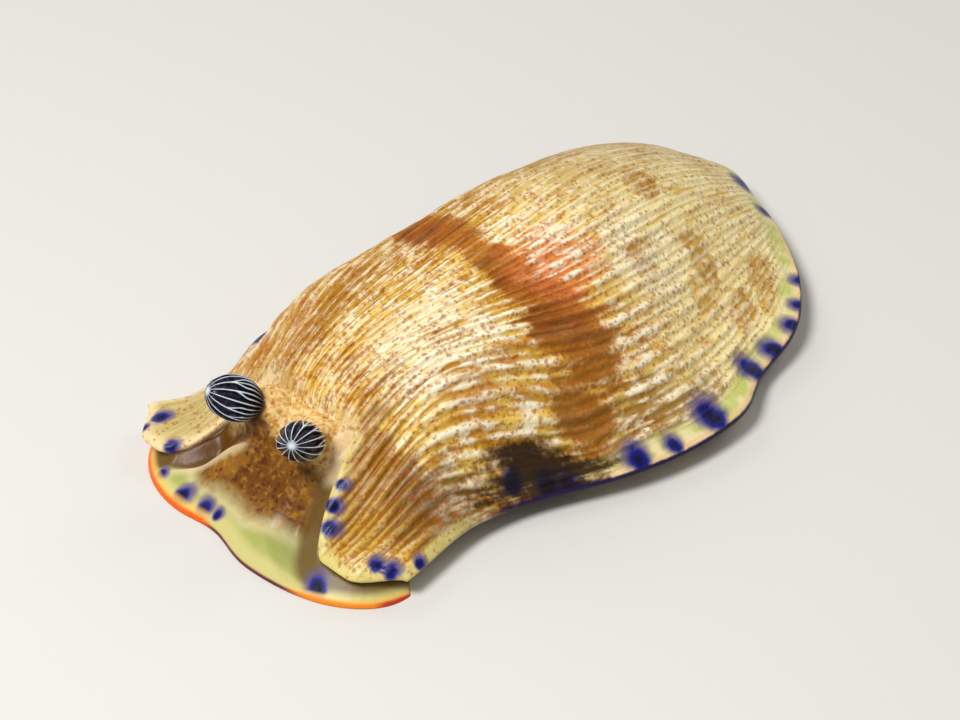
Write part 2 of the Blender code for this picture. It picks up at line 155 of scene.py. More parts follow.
def notum_height(p, q, wave):
    """The height of the back: a dome over the body that runs out to the thin margin."""
    a = np.abs(p)
    rear_crest = REAR_RIM_HEIGHT + (NOTUM_HEIGHT - REAR_RIM_HEIGHT) * (1.0 - np.abs(q) ** 1.85)
    front_crest = FRONT_RIM_HEIGHT + (NOTUM_HEIGHT - FRONT_RIM_HEIGHT) * (1.0 - np.abs(q) ** 3.2)
    crest = np.where(q > 0.0, rear_crest, front_crest)
    fullness = 1.4 + 0.7 * smooth(0.05, 0.6, -q) - 0.25 * smooth(-0.15, 0.25, q)
    dome = 0.5 * (1.0 + np.cos(np.pi * a ** fullness))
    collar = 1.0 - smooth(0.26, 0.60, a)
    near_front = smooth(0.55, 1.0, -q)
    share = dome * (1.0 - near_front) + collar * near_front
    waist = smooth(-0.72, -0.55, q) * (1.0 - smooth(-0.36, -0.18, q))
    hollow = smooth(0.5, 0.8, a) * (1.0 - smooth(0.84, 0.98, a)) * np.where(p > 0.0, 0.9, 0.5)
    return MARGIN_HEIGHT + (crest - MARGIN_HEIGHT) * share + 0.16 * wave - hollow * waist


def notum_point(r, q):
    """The place of (r, q) on the back, in millimetres, without its ridges."""
    p = fanned(r, q)
    a = np.abs(p)
    rear = NOTUM_MID_Y + NOTUM_REACH_REAR * q * np.sqrt(np.maximum(1.0 - p * p / 2.0, 0.0))
    front = NOTUM_MID_Y + NOTUM_REACH_FRONT * q
    start = np.where(p > 0.0, 0.33, 0.41)
    notch = NOTCH_DEPTH * (1.0 - smooth(start, start + 0.27, a) ** 0.5)
    notch = notch + 1.9 * smooth(0.74, 1.0, a) ** 1.5
    y = np.where(q > 0.0, rear, front + notch * np.abs(q) ** 4)
    wave = margin_wave(r, q)
    x = NOTUM_HALF_WIDTH * p * width_share(q) * (1.0 + 0.032 * wave) + sway(p, q)
    y = y + 0.22 * wave * q
    return np.stack([x + spine_x(y), y, notum_height(p, q, wave)], -1)


def notum_normal(r, q):
    step = 0.002
    across = notum_point(r + step, q) - notum_point(r - step, q)
    along = notum_point(r, q + step) - notum_point(r, q - step)
    normal = np.cross(across, along)
    return normal / np.maximum(np.linalg.norm(normal, axis=-1, keepdims=True), 1e-9)


print("top of the back at", notum_point(0.0, 0.0).round(2), "mm")

# %% [markdown]
# ## The mantle
# The mantle is a thick sheet. Its top carries the ridges, its edge is a smooth roll and its
# underside comes back in to the body. It could be sculpted, but a grid on r and q is exact and
# gives each point its place on the plan, so the top is such a grid, and rings of points round
# its outline carry on over the edge, under the skirt and down the flank of the body.

# %% Lay out the mantle's shell
MANTLE_COLUMNS = 321
MANTLE_ROWS = 153
ROLL_STEPS = 7
UNDER_SHARES = (0.93, 0.90, 0.86, 0.82, 0.78, 0.73, 0.68, 0.64, 0.61)
CORE_BOTTOM = 0.95


def grid_faces(columns, rows):
    i, j = np.meshgrid(np.arange(columns - 1), np.arange(rows - 1))
    corner = (j * columns + i).ravel()
    return np.stack([corner, corner + 1, corner + columns + 1, corner + columns], -1)


def grid_outline(columns, rows):
    """The numbers of a grid's outer points, in order round its edge."""
    bottom = np.arange(columns - 1)
    right = np.arange(rows - 1) * columns + columns - 1
    top = (rows - 1) * columns + np.arange(columns - 1, 0, -1)
    left = np.arange(rows - 1, 0, -1) * columns
    return np.concatenate([bottom, right, top, left])


def ring_faces(first, second):
    """Four-sided faces between two closed loops of the same count."""
    return np.stack([first, np.roll(first, -1), np.roll(second, -1), second], -1)


def tube_faces(columns, rows):
    """Faces along a tube whose rings follow one another in the list of points."""
    first = np.arange(columns)
    return np.concatenate([
        ring_faces(first + k * columns, first + (k + 1) * columns) for k in range(rows - 1)])


def front_share(r, q):
    """1 over the head, where the mantle is held up clear of the feelers, and 0 elsewhere."""
    return (1.0 - smooth(0.42, 0.62, np.abs(fanned(r, q)))) * smooth(0.40, 0.62, -q)


def under_point(r, q, thickness):
    """The underside: straight under the top, by more where the top is steep."""
    point = notum_point(r, q)
    level = np.maximum(notum_normal(r, q)[..., 2], 0.58)
    height = np.maximum(point[..., 2] - thickness / level, LOWEST_SKIRT)
    ceiling = CEILING_SIDE + (CEILING_FRONT - CEILING_SIDE) * front_share(r, q)
    point[..., 2] = np.minimum(height, ceiling)
    return point


def front_stretch(share, q):
    """The body's core reaches further forward under the head than it does sideways."""
    return 1.0 - (1.0 - share) * (1.0 - 0.35 * smooth(0.75, 1.0, -q))


def mantle_grid():
    """The plan numbers of the mantle's grid, from -1 to 1 both ways."""
    grid = np.meshgrid(np.linspace(-1, 1, MANTLE_COLUMNS), np.linspace(-1, 1, MANTLE_ROWS))
    return [numbers.ravel() for numbers in grid]


def mantle_shell():
    across, along = mantle_grid()
    r, q = across * GRID_SHARE, along * GRID_SHARE
    loops = [notum_point(r, q)]
    plans = [np.stack([r, q], -1)]
    faces = [grid_faces(MANTLE_COLUMNS, MANTLE_ROWS)]
    outline = grid_outline(MANTLE_COLUMNS, MANTLE_ROWS)
    rim_r, rim_q = across[outline], along[outline]
    count = len(r)
    last = outline

    def add_ring(points, share):
        nonlocal count, last
        loops.append(points)
        plans.append(np.stack([rim_r, rim_q], -1) * np.reshape(share, (-1, 1)))
        new = np.arange(count, count + len(points))
        faces.append(ring_faces(last, new))
        count += len(points)
        last = new

    for k in range(1, ROLL_STEPS + 1):
        turn = math.pi * k / (ROLL_STEPS + 1)
        share = GRID_SHARE + (1.0 - GRID_SHARE) * math.sin(turn)
        ring = notum_point(rim_r * share, rim_q * share)
        ring[:, 2] -= MARGIN_THICKNESS / 2 * (1.0 - math.cos(turn))
        add_ring(ring, np.full(len(ring), share))
    for share in (GRID_SHARE, *UNDER_SHARES):
        inward = front_stretch(share, rim_q)
        thickness = MARGIN_THICKNESS + 1.3 * (RIDGE_SHARE - share)
        add_ring(under_point(rim_r * inward, rim_q * inward, thickness), inward)
    inward = front_stretch(CORE_SHARE, rim_q)
    floor = notum_point(rim_r * inward, rim_q * inward)
    floor[:, 2] = CORE_BOTTOM
    add_ring(floor, inward)
    closed = np.concatenate(faces).tolist() + [last.tolist()]
    return np.concatenate(loops), np.concatenate(plans), closed


def make_shell(name, points, faces):
    """A closed, outward-facing object from points in millimetres."""
    mesh = bpy.data.meshes.new(name)
    mesh.from_pydata((np.asarray(points) * MM).tolist(), [], faces)
    form = bmesh.new()
    form.from_mesh(mesh)
    bmesh.ops.remove_doubles(form, verts=form.verts, dist=1e-7)
    bmesh.ops.recalc_face_normals(form, faces=form.faces)
    if form.calc_volume(signed=True) < 0.0:
        bmesh.ops.reverse_faces(form, faces=form.faces)
    form.to_mesh(mesh)
    form.free()
    return put_object(name, mesh)


def put_values(mesh, **lists):
    """Store numbers, one for each point of a mesh, under names that nodes can read."""
    for name, values in lists.items():
        store = mesh.attributes.new(name, "FLOAT", "POINT")
        store.data.foreach_set("value", np.asarray(values, dtype=np.float32))


mantle_points, mantle_plan, mantle_faces = mantle_shell()
mantle = make_shell("mantle", mantle_points, mantle_faces)
put_values(mantle.data, across=mantle_plan[:, 0], along=mantle_plan[:, 1])
print("mantle:", len(mantle_points), "points,", len(mantle_faces), "faces")

# %% [markdown]
# ## A short way to write nodes
# Node trees grow long when each node is made by hand. This class wraps one socket of a tree:
# Python's + - * / on it add Math nodes, and `node` adds any other kind. The same class serves
# Geometry Nodes and materials, because both share the Math node. Colours are written as the eye
# sees them on a screen and turned into the linear numbers that light is added up in.

# %% Wrap a socket
def paint(red, green, blue):
    """A linear colour from screen values of 0 to 255."""
    linear = (((c / 255.0 + 0.055) / 1.055) ** 2.4 if c > 10 else c / 3294.6 for c in (red, green, blue))
    return (*linear, 1.0)


class Wire:
    """A value that runs through a node tree."""

    def __init__(self, tree, socket=None):
        self.tree = tree
        self.socket = socket

    def node(self, kind, settings=None, inputs=None, output=0):
        """Add a node: its kind, its settings, then a value or a wire for each named input."""
        made = self.tree.nodes.new(kind)
        for key, value in (settings or {}).items():
            setattr(made, key, value)
        for key, value in (inputs or {}).items():
            target = made.inputs[key]
            if isinstance(value, Wire):
                self.tree.links.new(value.socket, target)
            else:
                target.default_value = value
        return Wire(self.tree, made.outputs[output])

    def math(self, operation, *others):
        """A Math node on this wire and the others, in that order."""
        return self.node("ShaderNodeMath", {"operation": operation}, dict(enumerate((self, *others))))

    def flipped(self, operation, other):
        """A Math node with this wire second, for a number on the left of a sign."""
        return self.node("ShaderNodeMath", {"operation": operation}, {0: other, 1: self})

    def __add__(self, other):
        return self.math("ADD", other)

    def __radd__(self, other):
        return self.flipped("ADD", other)

    def __sub__(self, other):
        return self.math("SUBTRACT", other)

    def __rsub__(self, other):
        return self.flipped("SUBTRACT", other)

    def __mul__(self, other):
        return self.math("MULTIPLY", other)

    def __rmul__(self, other):
        return self.flipped("MULTIPLY", other)

    def __truediv__(self, other):
        return self.math("DIVIDE", other)

    def __rtruediv__(self, other):
        return self.flipped("DIVIDE", other)

    def __pow__(self, other):
        return self.math("POWER", other)

    def __or__(self, other):
        """The greater of the two, which joins two masks."""
        return self.math("MAXIMUM", other)

    def wave(self):
        """The cosine of a number of whole turns."""
        return (self * (2.0 * math.pi)).math("COSINE")

    def step(self, low, high):
        """0 below low, 1 above high, and smooth between; low may be the greater."""
        if low > high:
            return 1.0 - self.step(high, low)
        settings = {"interpolation_type": "SMOOTHSTEP"}
        return self.node("ShaderNodeMapRange", settings, {"Value": self, "From Min": low, "From Max": high})

    def point(self, x, y, z=0.0):
        """Join three numbers into a vector."""
        return self.node("ShaderNodeCombineXYZ", {}, {"X": x, "Y": y, "Z": z})

    def split(self):
        """The three numbers of this vector."""
        parts = self.node("ShaderNodeSeparateXYZ", {}, {"Vector": self}).socket.node
        return [Wire(self.tree, socket) for socket in parts.outputs]

    def mix(self, first, second, share):
        """Mix from one colour to another, each a wire or three screen values, by a share from 0 to 1."""
        first, second = (paint(*c) if isinstance(c, tuple) else c for c in (first, second))
        settings = {"data_type": "RGBA", "clamp_factor": True}
        return self.node("ShaderNodeMix", settings, {0: share, 6: first, 7: second}, output=2)


print("the margin's pale green-yellow is", [round(c, 3) for c in paint(196, 198, 108)])

# %% [markdown]
# ## Names for the finishes
# A material belongs to each part from the start, because the node trees that shape the parts also
# set their material. They stay empty here and are painted further down, once all shapes stand.

# %% Name the finishes
def stand_in(name):
    material = bpy.data.materials.new(name)
    material.use_nodes = True
    return material


mantle_finish, head_finish, foot_finish, club_finish = (
    stand_in(name + "_finish") for name in ("mantle", "head", "foot", "club"))
print("finishes:", [material.name for material in bpy.data.materials])

# %% [markdown]
# ## The ridges of the back
# About thirty low ridges run the length of the back. Each is a line of equal r, rounded on top,
# with a furrow between it and the next that holds a finer thread, and both are beaded: they swell
# and sink as they run. A Geometry Nodes tree lifts the shell along its normals by that rule, so
# the count and the height stay as named inputs that anyone can turn.

# %% Raise the ridges with Geometry Nodes
RIDGE_COUNT = 30
RIDGE_HEIGHT = 0.27
THREAD_SHARE = 0.6
BEAD_LENGTH = 0.11


def new_geometry_tree(name, inputs):
    """A Geometry Nodes tree with a geometry input and named sizes."""
    tree = bpy.data.node_groups.new(name, "GeometryNodeTree")
    tree.interface.new_socket("Geometry", in_out="INPUT", socket_type="NodeSocketGeometry")
    tree.interface.new_socket("Geometry", in_out="OUTPUT", socket_type="NodeSocketGeometry")
    sizes = {}
    for label, value in inputs.items():
        kind = "NodeSocketInt" if isinstance(value, int) else "NodeSocketFloat"
        socket = tree.interface.new_socket(label, in_out="INPUT", socket_type=kind)
        socket.default_value = value
        sizes[label] = socket.identifier
    entry = tree.nodes.new("NodeGroupInput")
    leave = tree.nodes.new("NodeGroupOutput")
    wires = {socket.name: Wire(tree, socket) for socket in entry.outputs if socket.name}
    return tree, wires, leave, sizes


def apply_tree(shell, tree, sizes, values):
    """Run a tree on an object, turn the result into a plain mesh and take the modifier off."""
    modifier = shell.modifiers.new("nodes", "NODES")
    modifier.node_group = tree
    for label, value in values.items():
        modifier[sizes[label]] = value
    depsgraph = bpy.context.evaluated_depsgraph_get()
    mesh = bpy.data.meshes.new_from_object(shell.evaluated_get(depsgraph))
    shell.modifiers.clear()
    shell.data = mesh
    return mesh


def named(wire, label):
    """Read one of the mesh's own numbers inside a Geometry Nodes tree."""
    return wire.node("GeometryNodeInputNamedAttribute", {"data_type": "FLOAT"}, {"Name": label})


def push_out(wire, height):
    """Move a surface out along its normals."""
    normal = wire.node("GeometryNodeInputNormal")
    offset = wire.node("ShaderNodeVectorMath", {"operation": "SCALE"}, {0: normal, "Scale": height})
    return wire.node("GeometryNodeSetPosition", {}, {"Geometry": wire, "Offset": offset})


def close_tree(wire, leave, material):
    """End a tree: copies become real geometry, and the material is set."""
    real = wire.node("GeometryNodeRealizeInstances", {}, {"Geometry": wire})
    painted = wire.node("GeometryNodeSetMaterial", {}, {"Geometry": real, "Material": material})
    wire.tree.links.new(painted.socket, leave.inputs["Geometry"])


def ridge_tree():
    inputs = {"Ridge count": RIDGE_COUNT, "Ridge height": RIDGE_HEIGHT * MM, "Thread share": THREAD_SHARE,
              "Bead length": BEAD_LENGTH, "Seed": 4.0}
    tree, wires, leave, sizes = new_geometry_tree("back_ridges", inputs)
    wire = wires["Geometry"]
    across, along, lift = (named(wire, label) for label in ("across", "along", "lift"))
    lane = (across / RIDGE_SHARE + 1.0) * wires["Ridge count"] * 0.5
    crest = (0.5 - 0.5 * lane.wave()) ** 0.75
    thread = (0.5 + 0.5 * lane.wave()) ** 4.0
    place = wire.point(lane * 2.0, along / wires["Bead length"], wires["Seed"])
    bead = wire.node("ShaderNodeTexNoise", {}, {"Vector": place, "Scale": 0.8, "Detail": 2.0})
    profile = crest | thread * wires["Thread share"]
    height = profile * (0.45 + 0.75 * bead) * lift * wires["Ridge height"]
    close_tree(push_out(wire, height), leave, mantle_finish)
    return tree, sizes


def coordinates(mesh):
    """A mesh's points in millimetres."""
    flat = np.empty(len(mesh.vertices) * 3, dtype=np.float32)
    mesh.vertices.foreach_get("co", flat)
    return flat.reshape(-1, 3).astype(float) / MM


def line_gap(x, y, line):
    """The distance in plan from each point to a line, and how far along the line it is nearest."""
    best = np.full(np.shape(x), np.inf)
    nearest = np.zeros(np.shape(x))
    for k in range(len(line) - 1):
        start, way = line[k], line[k + 1] - line[k]
        share = np.clip(((x - start[0]) * way[0] + (y - start[1]) * way[1]) / (way @ way), 0.0, 1.0)
        away = np.hypot(x - start[0] - share * way[0], y - start[1] - share * way[1])
        nearest = np.where(away < best, k + share, nearest)
        best = np.minimum(best, away)
    return best, nearest


edge = grid_outline(MANTLE_COLUMNS, MANTLE_ROWS)
rim_line = notum_point(*(numbers[edge[::2]] for numbers in mantle_grid()))[:, :2]
rim_line = np.concatenate([rim_line, rim_line[:1]])
mantle_gap, _ = line_gap(mantle_points[:, 0], mantle_points[:, 1], rim_line)
r, q = mantle_plan[:, 0], mantle_plan[:, 1]
smooth_band = 0.5 + 1.3 * smooth(-0.75, -0.45, q)
lift = smooth(0.3 * smooth_band, smooth_band, mantle_gap) * (1.0 - 0.7 * smooth(-0.1, 0.6, q))
lift *= 1.0 - 0.7 * smooth(-0.7, -0.85, q) * smooth(-0.45, -0.6, r)
ring = (np.arange(len(mantle_plan)) - MANTLE_COLUMNS * MANTLE_ROWS) // len(edge)
put_values(mantle.data, lift=np.where(ring < 0.4 * ROLL_STEPS, lift, 0.0), gap=mantle_gap)
ridges, ridge_sizes = ridge_tree()
apply_tree(mantle, ridges, ridge_sizes, {"Ridge count": RIDGE_COUNT, "Ridge height": RIDGE_HEIGHT * MM})
print("ridges raised on", len(mantle.data.vertices), "points")

# %% [markdown]
# ## The head and the oral veil
# The head is a low dome in front of the mantle. Its skin runs out without a break into the oral
# veil, a thin flat sheet that feels the way over the sand, so both are one fan of lines from the
# neck to the veil's margin. The stalks of the two feelers are drawn up out of the same fan, which
# gives them a root that swells smoothly out of the head.

# %% Lay out the head and the veil
HEAD_MIDDLE_X = -0.1
HEAD_MID_Y = -15.5
HEAD_TOP = 4.75
HEAD_EDGE = 1.15
VEIL_HALF_WIDTH = 9.4
VEIL_FAR_HALF_WIDTH = 7.9
VEIL_REACH = 4.6
VEIL_FAR_REACH = 4.25
VEIL_SQUARENESS = 3.4
VEIL_DIP = 0.45
VEIL_EDGE = 0.26
FOLD_Y = -16.0
FOLD_SLOPE = 0.62
HEM_HEIGHT = 0.34
TROUGH_DEPTH = 1.0
MOUTH_Y = -16.4
MOUTH_HALF_LENGTH = 1.5
RIM_STEPS = 301
NECK_HALF_WIDTH = 3.3
NECK_LINE_Y = -10.6
STALK_BASE = (1.5, -14.7)
STALK_RADIUS = 0.62
STALK_ROOT_RADIUS = 1.25
CLUB_CENTRE = (2.35, -16.2, 5.5)
CLUB_LEAN = (0.41, -0.74, 0.51)
CLUB_LENGTH = 2.9
CLUB_RADIUS = 1.16
FAN_COLUMNS = 189
FAN_ROWS = 89


def veil_margin(turn):
    """The veil's free front margin, from -90 to 90 degrees round the head."""
    s, c = np.sin(turn), np.maximum(np.cos(turn), 0.0)
    half_width = np.where(s > 0.0, VEIL_HALF_WIDTH, VEIL_FAR_HALF_WIDTH)
    x = half_width * np.sign(s) * np.abs(s) ** (2.0 / VEIL_SQUARENESS)
    reach = VEIL_FAR_REACH + (VEIL_REACH - VEIL_FAR_REACH) * smooth(-2.5, 2.5, x)
    y = HEAD_MID_Y - reach * c + VEIL_DIP * np.exp(-(((x + 0.6) / 1.8) ** 2))
    return x, y - 0.5 * np.abs(s) ** 8


def even_margin(count):
    """The same margin as points that stand the same distance apart."""
    x, y = veil_margin(np.radians(np.linspace(-90.0, 90.0, 4001)))
    run = np.concatenate([[0.0], np.cumsum(np.hypot(np.diff(x), np.diff(y)))])
    places = np.linspace(0.0, run[-1], count)
    return np.interp(places, run, x), np.interp(places, run, y)


margin_line = np.stack(even_margin(241), -1)


def margin_gap(x, y):
    """The distance in plan from each point to the veil's margin."""
    return line_gap(x, y, margin_line)[0]


def head_dome(x, y):
    """The head: a low broad dome that slopes down in front and runs out in a skirt at its sides."""
    across = np.abs(x - HEAD_MIDDLE_X) / (5.0 + 1.3 * smooth(-18.0, -14.5, y))
    crown = HEAD_EDGE + (HEAD_TOP - HEAD_EDGE) * (1.0 - smooth(-13.6, -19.0, y))
    return 0.12 + (crown - 0.12) * (1.0 - smooth(0.36, 1.0, across))


def fold_line(x):
    """Where the raised hem behind the veil runs, on the right side of the head."""
    out = np.clip(HEAD_MIDDLE_X - x, 0.8, 5.6)
    return FOLD_Y - FOLD_SLOPE * (out - 0.8)


def fold_window(x):
    """1 where the hem stands, and 0 beyond its two ends."""
    out = HEAD_MIDDLE_X - x
    return smooth(0.7, 1.9, out) * (1.0 - smooth(5.0, 7.0, out))


def hem(x, y):
    """The raised fold of skin behind the veil."""
    return fold_window(x) * np.exp(-(((y - fold_line(x)) / 0.34) ** 2))


def trough(x, y):
    """The hollow between that fold and the mantle."""
    window = smooth(0.9, 3.0, HEAD_MIDDLE_X - x) * (1.0 - smooth(5.4, 7.4, HEAD_MIDDLE_X - x))
    return window * np.exp(-(((y - fold_line(x) - 1.55) / 0.95) ** 2))


rim_front = notum_point(np.linspace(-1.0, 1.0, RIM_STEPS), np.full(RIM_STEPS, -1.0))


def blend_up(first, second, width):
    """The greater of two heights, with a fillet of the given width where they cross."""
    share = np.clip(0.5 + 0.5 * (first - second) / width, 0.0, 1.0)
    return second + (first - second) * share + width * share * (1.0 - share)


def tucked(x, y, height):
    """Bring the head's skin up against the mantle's front edge, so no gap is left under it."""
    gap, nearest = line_gap(x, y, rim_front[:, :2])
    rim = np.interp(nearest, np.arange(len(rim_front)), rim_front[:, 2])
    far_side = smooth(-1.8, -3.4, x)
    middle = 1.0 - smooth(2.5, 3.7, np.abs(x))
    behind = y > np.interp(nearest, np.arange(len(rim_front)), rim_front[:, 1])
    gap = gap * (1.0 - behind * middle)
    top = rim - 0.42 - 0.5 * far_side * smooth(1.6, 3.0, rim) + 0.45 * middle
    return blend_up(height, top - 0.6 * gap - 0.5 * gap ** 2, 0.6)


def sheet_height(x, y, gap):
    """The veil's top: thin and rounded at its margin, thicker towards the head."""
    roll = np.sqrt(np.maximum(1.0 - (1.0 - np.clip(gap / 0.45, 0.0, 1.0)) ** 2, 0.0))
    root = 0.4 * smooth(0.4, 3.0, gap) * (1.0 - smooth(3.5, 6.5, np.abs(x)))
    return 0.1 + (VEIL_EDGE - 0.1) * roll + 0.22 * smooth(0.2, 1.4, gap) + root


def fan_plan(columns, rows):
    """The fan's lines in plan, from the neck out to the veil's margin."""
    turn = np.radians(np.linspace(-90.0, 90.0, columns))
    outer_x, outer_y = even_margin(columns)
    inner_x = NECK_HALF_WIDTH * np.sin(turn)
    share = (np.linspace(0.0, 1.0, rows) ** 0.85)[:, None]
    x = inner_x + (outer_x - inner_x) * share
    y = NECK_LINE_Y + (outer_y - NECK_LINE_Y) * share
    return x.ravel(), y.ravel()


def end_share(x, y):
    """0 on the two side lines from the veil's corners to the neck, and 1 a little further in."""
    best = np.ones(np.shape(x))
    for corner, side in ((margin_line[0], -1.0), (margin_line[-1], 1.0)):
        line = np.array([corner, [side * NECK_HALF_WIDTH, NECK_LINE_Y]])
        best = np.minimum(best, line_gap(x, y, line)[0] / 1.4)
    return np.maximum(np.sqrt(1.0 - (1.0 - best) ** 2), 1.0 - smooth(5.5, 7.0, np.abs(x)))


def fan_top(x, y):
    """The height of the head's and the veil's skin, without the stalks."""
    gap = margin_gap(x, y)
    sheet = sheet_height(x, y, gap)
    height = blend_up(head_dome(x, y), sheet, 0.6)
    folded = height + HEM_HEIGHT * hem(x, y) - TROUGH_DEPTH * trough(x, y) * smooth(0.5, 2.2, height)
    highest = sheet + 0.45 * gap + 6.0 * smooth(1.2, 3.5, gap)
    full = np.maximum(tucked(x, y, folded), 0.4 * sheet)
    capped = -blend_up(-full, -highest, 0.2 * smooth(0.0, 0.5, gap) + 0.01)
    return capped * (0.12 + 0.88 * end_share(x, y))


def mirrored(place, side):
    """A place of the left side (side 1) as it is, or of the right side (side -1)."""
    return np.array([side * place[0], place[1], place[2]])


def draw_stalks(points):
    """Pull the skin out towards each club, most where the stalk stands and none beyond its root."""
    for side in (-1.0, 1.0):
        lean = mirrored(CLUB_LEAN, side)
        lean /= np.linalg.norm(lean)
        top = mirrored(CLUB_CENTRE, side) - lean * (CLUB_LENGTH / 2 - 0.1)
        base_x, base_y = side * STALK_BASE[0], STALK_BASE[1]
        base = np.array([base_x, base_y, float(fan_top(np.array([base_x]), np.array([base_y]))[0])])
        away = np.hypot(points[:, 0] - base_x, points[:, 1] - base_y)
        pull = 1.0 - smooth(STALK_RADIUS, STALK_ROOT_RADIUS, away)
        points += pull[:, None] * (top - base)
    return points


def fan_bottom(x, y):
    """The underside: flat on the sand, hollow under the head, with lips round an upright mouth."""
    gap = margin_gap(x, y)
    hollow = 0.4 * smooth(2.2, 3.4, gap) * (1.0 - smooth(3.4, 4.6, np.abs(x - HEAD_MIDDLE_X)))
    along = np.clip((y - MOUTH_Y) / MOUTH_HALF_LENGTH, -1.0, 1.0)
    swell = np.sqrt(1.0 - along ** 2)
    lip = np.exp(-(((np.abs(x - HEAD_MIDDLE_X) - 0.34 - 0.35 * swell) / 0.3) ** 2)) * swell
    slit = np.exp(-(((x - HEAD_MIDDLE_X) / 0.22) ** 2)) * swell
    return np.maximum(hollow - 0.32 * lip, 0.0) + 0.5 * slit


def fan_shell():
    x, y = fan_plan(FAN_COLUMNS, FAN_ROWS)
    top = draw_stalks(np.stack([x, y, fan_top(x, y)], -1))
    under = np.stack([x, y, fan_bottom(x, y)], -1)
    upper = grid_faces(FAN_COLUMNS, FAN_ROWS)
    lower = upper + len(top)
    outline = grid_outline(FAN_COLUMNS, FAN_ROWS)
    sides = ring_faces(outline, outline + len(top))
    return np.concatenate([top, under]), np.concatenate([upper, lower, sides]).tolist()


fan_points, fan_faces = fan_shell()
fan = make_shell("fan", fan_points, fan_faces)
print("head and veil:", len(fan_points), "points, top at", fan_points[:, 2].max().round(2), "mm")

# %% [markdown]
# ## The foot and the tail
# The animal glides on a flat sole, broad behind the head and drawn out to a point behind. It is
# one strip of cross-sections, each a flat bottom, a thin flared edge and a rounded top that the
# body stands on.

# %% Lay out the foot
FOOT_FRONT_Y = -11.4
FOOT_REAR_Y = 18.2
FOOT_HALF_WIDTH = 7.0
FOOT_THICKNESS = 1.35
FOOT_STATIONS = 110
FOOT_ROUND = 40


def foot_half_width(y):
    along = (y - FOOT_FRONT_Y) / (FOOT_REAR_Y - FOOT_FRONT_Y)
    front = np.sqrt(1.0 - (1.0 - smooth(0.0, 0.13, along)) ** 2 * 0.55)
    return FOOT_HALF_WIDTH * front * (1.0 - 0.96 * np.clip((along - 0.3) / 0.7, 0.0, 1.0) ** 2.2)


def foot_shell():
    """Cross-sections from front to rear: flat below, thin at the edge and rounded above."""
    stations = FOOT_FRONT_Y + (FOOT_REAR_Y - FOOT_FRONT_Y) * np.linspace(0.0, 1.0, FOOT_STATIONS) ** 1.1
    half = np.maximum(foot_half_width(stations), 0.3)[:, None]
    middle = spine_x(stations)[:, None]
    turn = np.linspace(0.0, 2.0 * math.pi, FOOT_ROUND, endpoint=False)[None, :]
    side, rise = np.cos(turn), np.sin(turn)
    flat = np.sign(side) * np.abs(side) ** 0.55
    top = np.minimum(FOOT_THICKNESS, 0.45 + 0.5 * half)
    edge = 0.30 * np.minimum(half, 1.0)
    above = edge + (top - edge) * np.abs(rise) ** 1.6
    below = edge * (1.0 - np.abs(rise) ** 0.35)
    height = np.where(rise > 0.0, above, below)
    points = np.stack(np.broadcast_arrays(middle + half * flat, stations[:, None], height), -1)
    first = np.arange(FOOT_ROUND)
    ends = [first.tolist(), (first + (FOOT_STATIONS - 1) * FOOT_ROUND).tolist()]
    return points.reshape(-1, 3), tube_faces(FOOT_ROUND, FOOT_STATIONS).tolist() + ends


foot_points, foot_faces = foot_shell()
foot = make_shell("foot_shell", foot_points, foot_faces)
print("foot:", len(foot_points), "points, half width", foot_half_width(0.0).round(2), "mm")

# %% [markdown]
# ## Blue spots and edges
# Royal-blue spots stand in a row along every free margin, each with a black heart and a mauve
# rim, and a thin line of colour runs along the very edge. They could be painted by hand, but the
# animal's spots have places and sizes that can be written down: each point of the skin gets its
# distance to the margin and its distance to the nearest spot, in that spot's own radii.

# %% Measure each point's distance to the margin and to the nearest spot
# Each spot is (x, y, radius) in plan, seen from above
REAR_SPOTS = (
    (8.8, -8.4, 0.5), (9.9, -7.0, 0.62), (10.5, -6.2, 0.6), (11.8, -2.6, 0.68), (12.4, -0.6, 0.48),
    (12.4, 2.3, 0.85), (11.2, 6.8, 0.72), (11.0, 8.9, 0.62), (10.5, 11.0, 0.55), (9.7, 12.6, 0.5),
    (8.3, 14.4, 0.5),
)
# These stand on a steep part of the rim, so each is (x, y, z, radius)
RIM_SPOTS = ((4.3, -15.48, 3.55, 0.3), (4.55, -16.3, 2.9, 0.38), (4.98, -17.0, 2.2, 0.42))
LOBE_SPOTS = (
    (8.05, -16.9, 0.4), (8.8, -16.6, 0.42), (9.25, -15.2, 0.32), (-7.5, -16.7, 0.45),
    (-5.6, -17.7, 0.36), (-7.7, -17.7, 0.25),
)
VEIL_SPOTS = (
    (-5.3, -18.7, 0.3), (-3.3, -19.1, 0.5), (-1.8, -19.0, 0.42), (-0.95, -18.9, 0.3), (6.25, -19.0, 0.55),
)
FAR_SPOT_GAP = 2.4
FAR_SPOT_SHARE = 0.965
NO_SPOT = 9.0


def far_margin_spots():
    """A row of spots along the right margin and round the tail, which the photograph hides."""
    q = np.linspace(-0.6, 1.0, 400)
    side = notum_point(np.full_like(q, -FAR_SPOT_SHARE), q)
    r = np.linspace(-1.0, 0.72, 400)
    tail = notum_point(r, np.full_like(r, FAR_SPOT_SHARE))
    line = np.concatenate([side[:-1], tail])
    run = np.concatenate([[0.0], np.cumsum(np.linalg.norm(np.diff(line[:, :2], axis=0), axis=1))])
    rng = np.random.default_rng(12)
    places = np.arange(1.0, run[-1], FAR_SPOT_GAP)
    places += rng.uniform(-0.6, 0.6, len(places))
    x, y = np.interp(places, run, line[:, 0]), np.interp(places, run, line[:, 1])
    return [(float(a), float(b), float(c)) for a, b, c in zip(x, y, rng.uniform(0.42, 0.7, len(x)))]


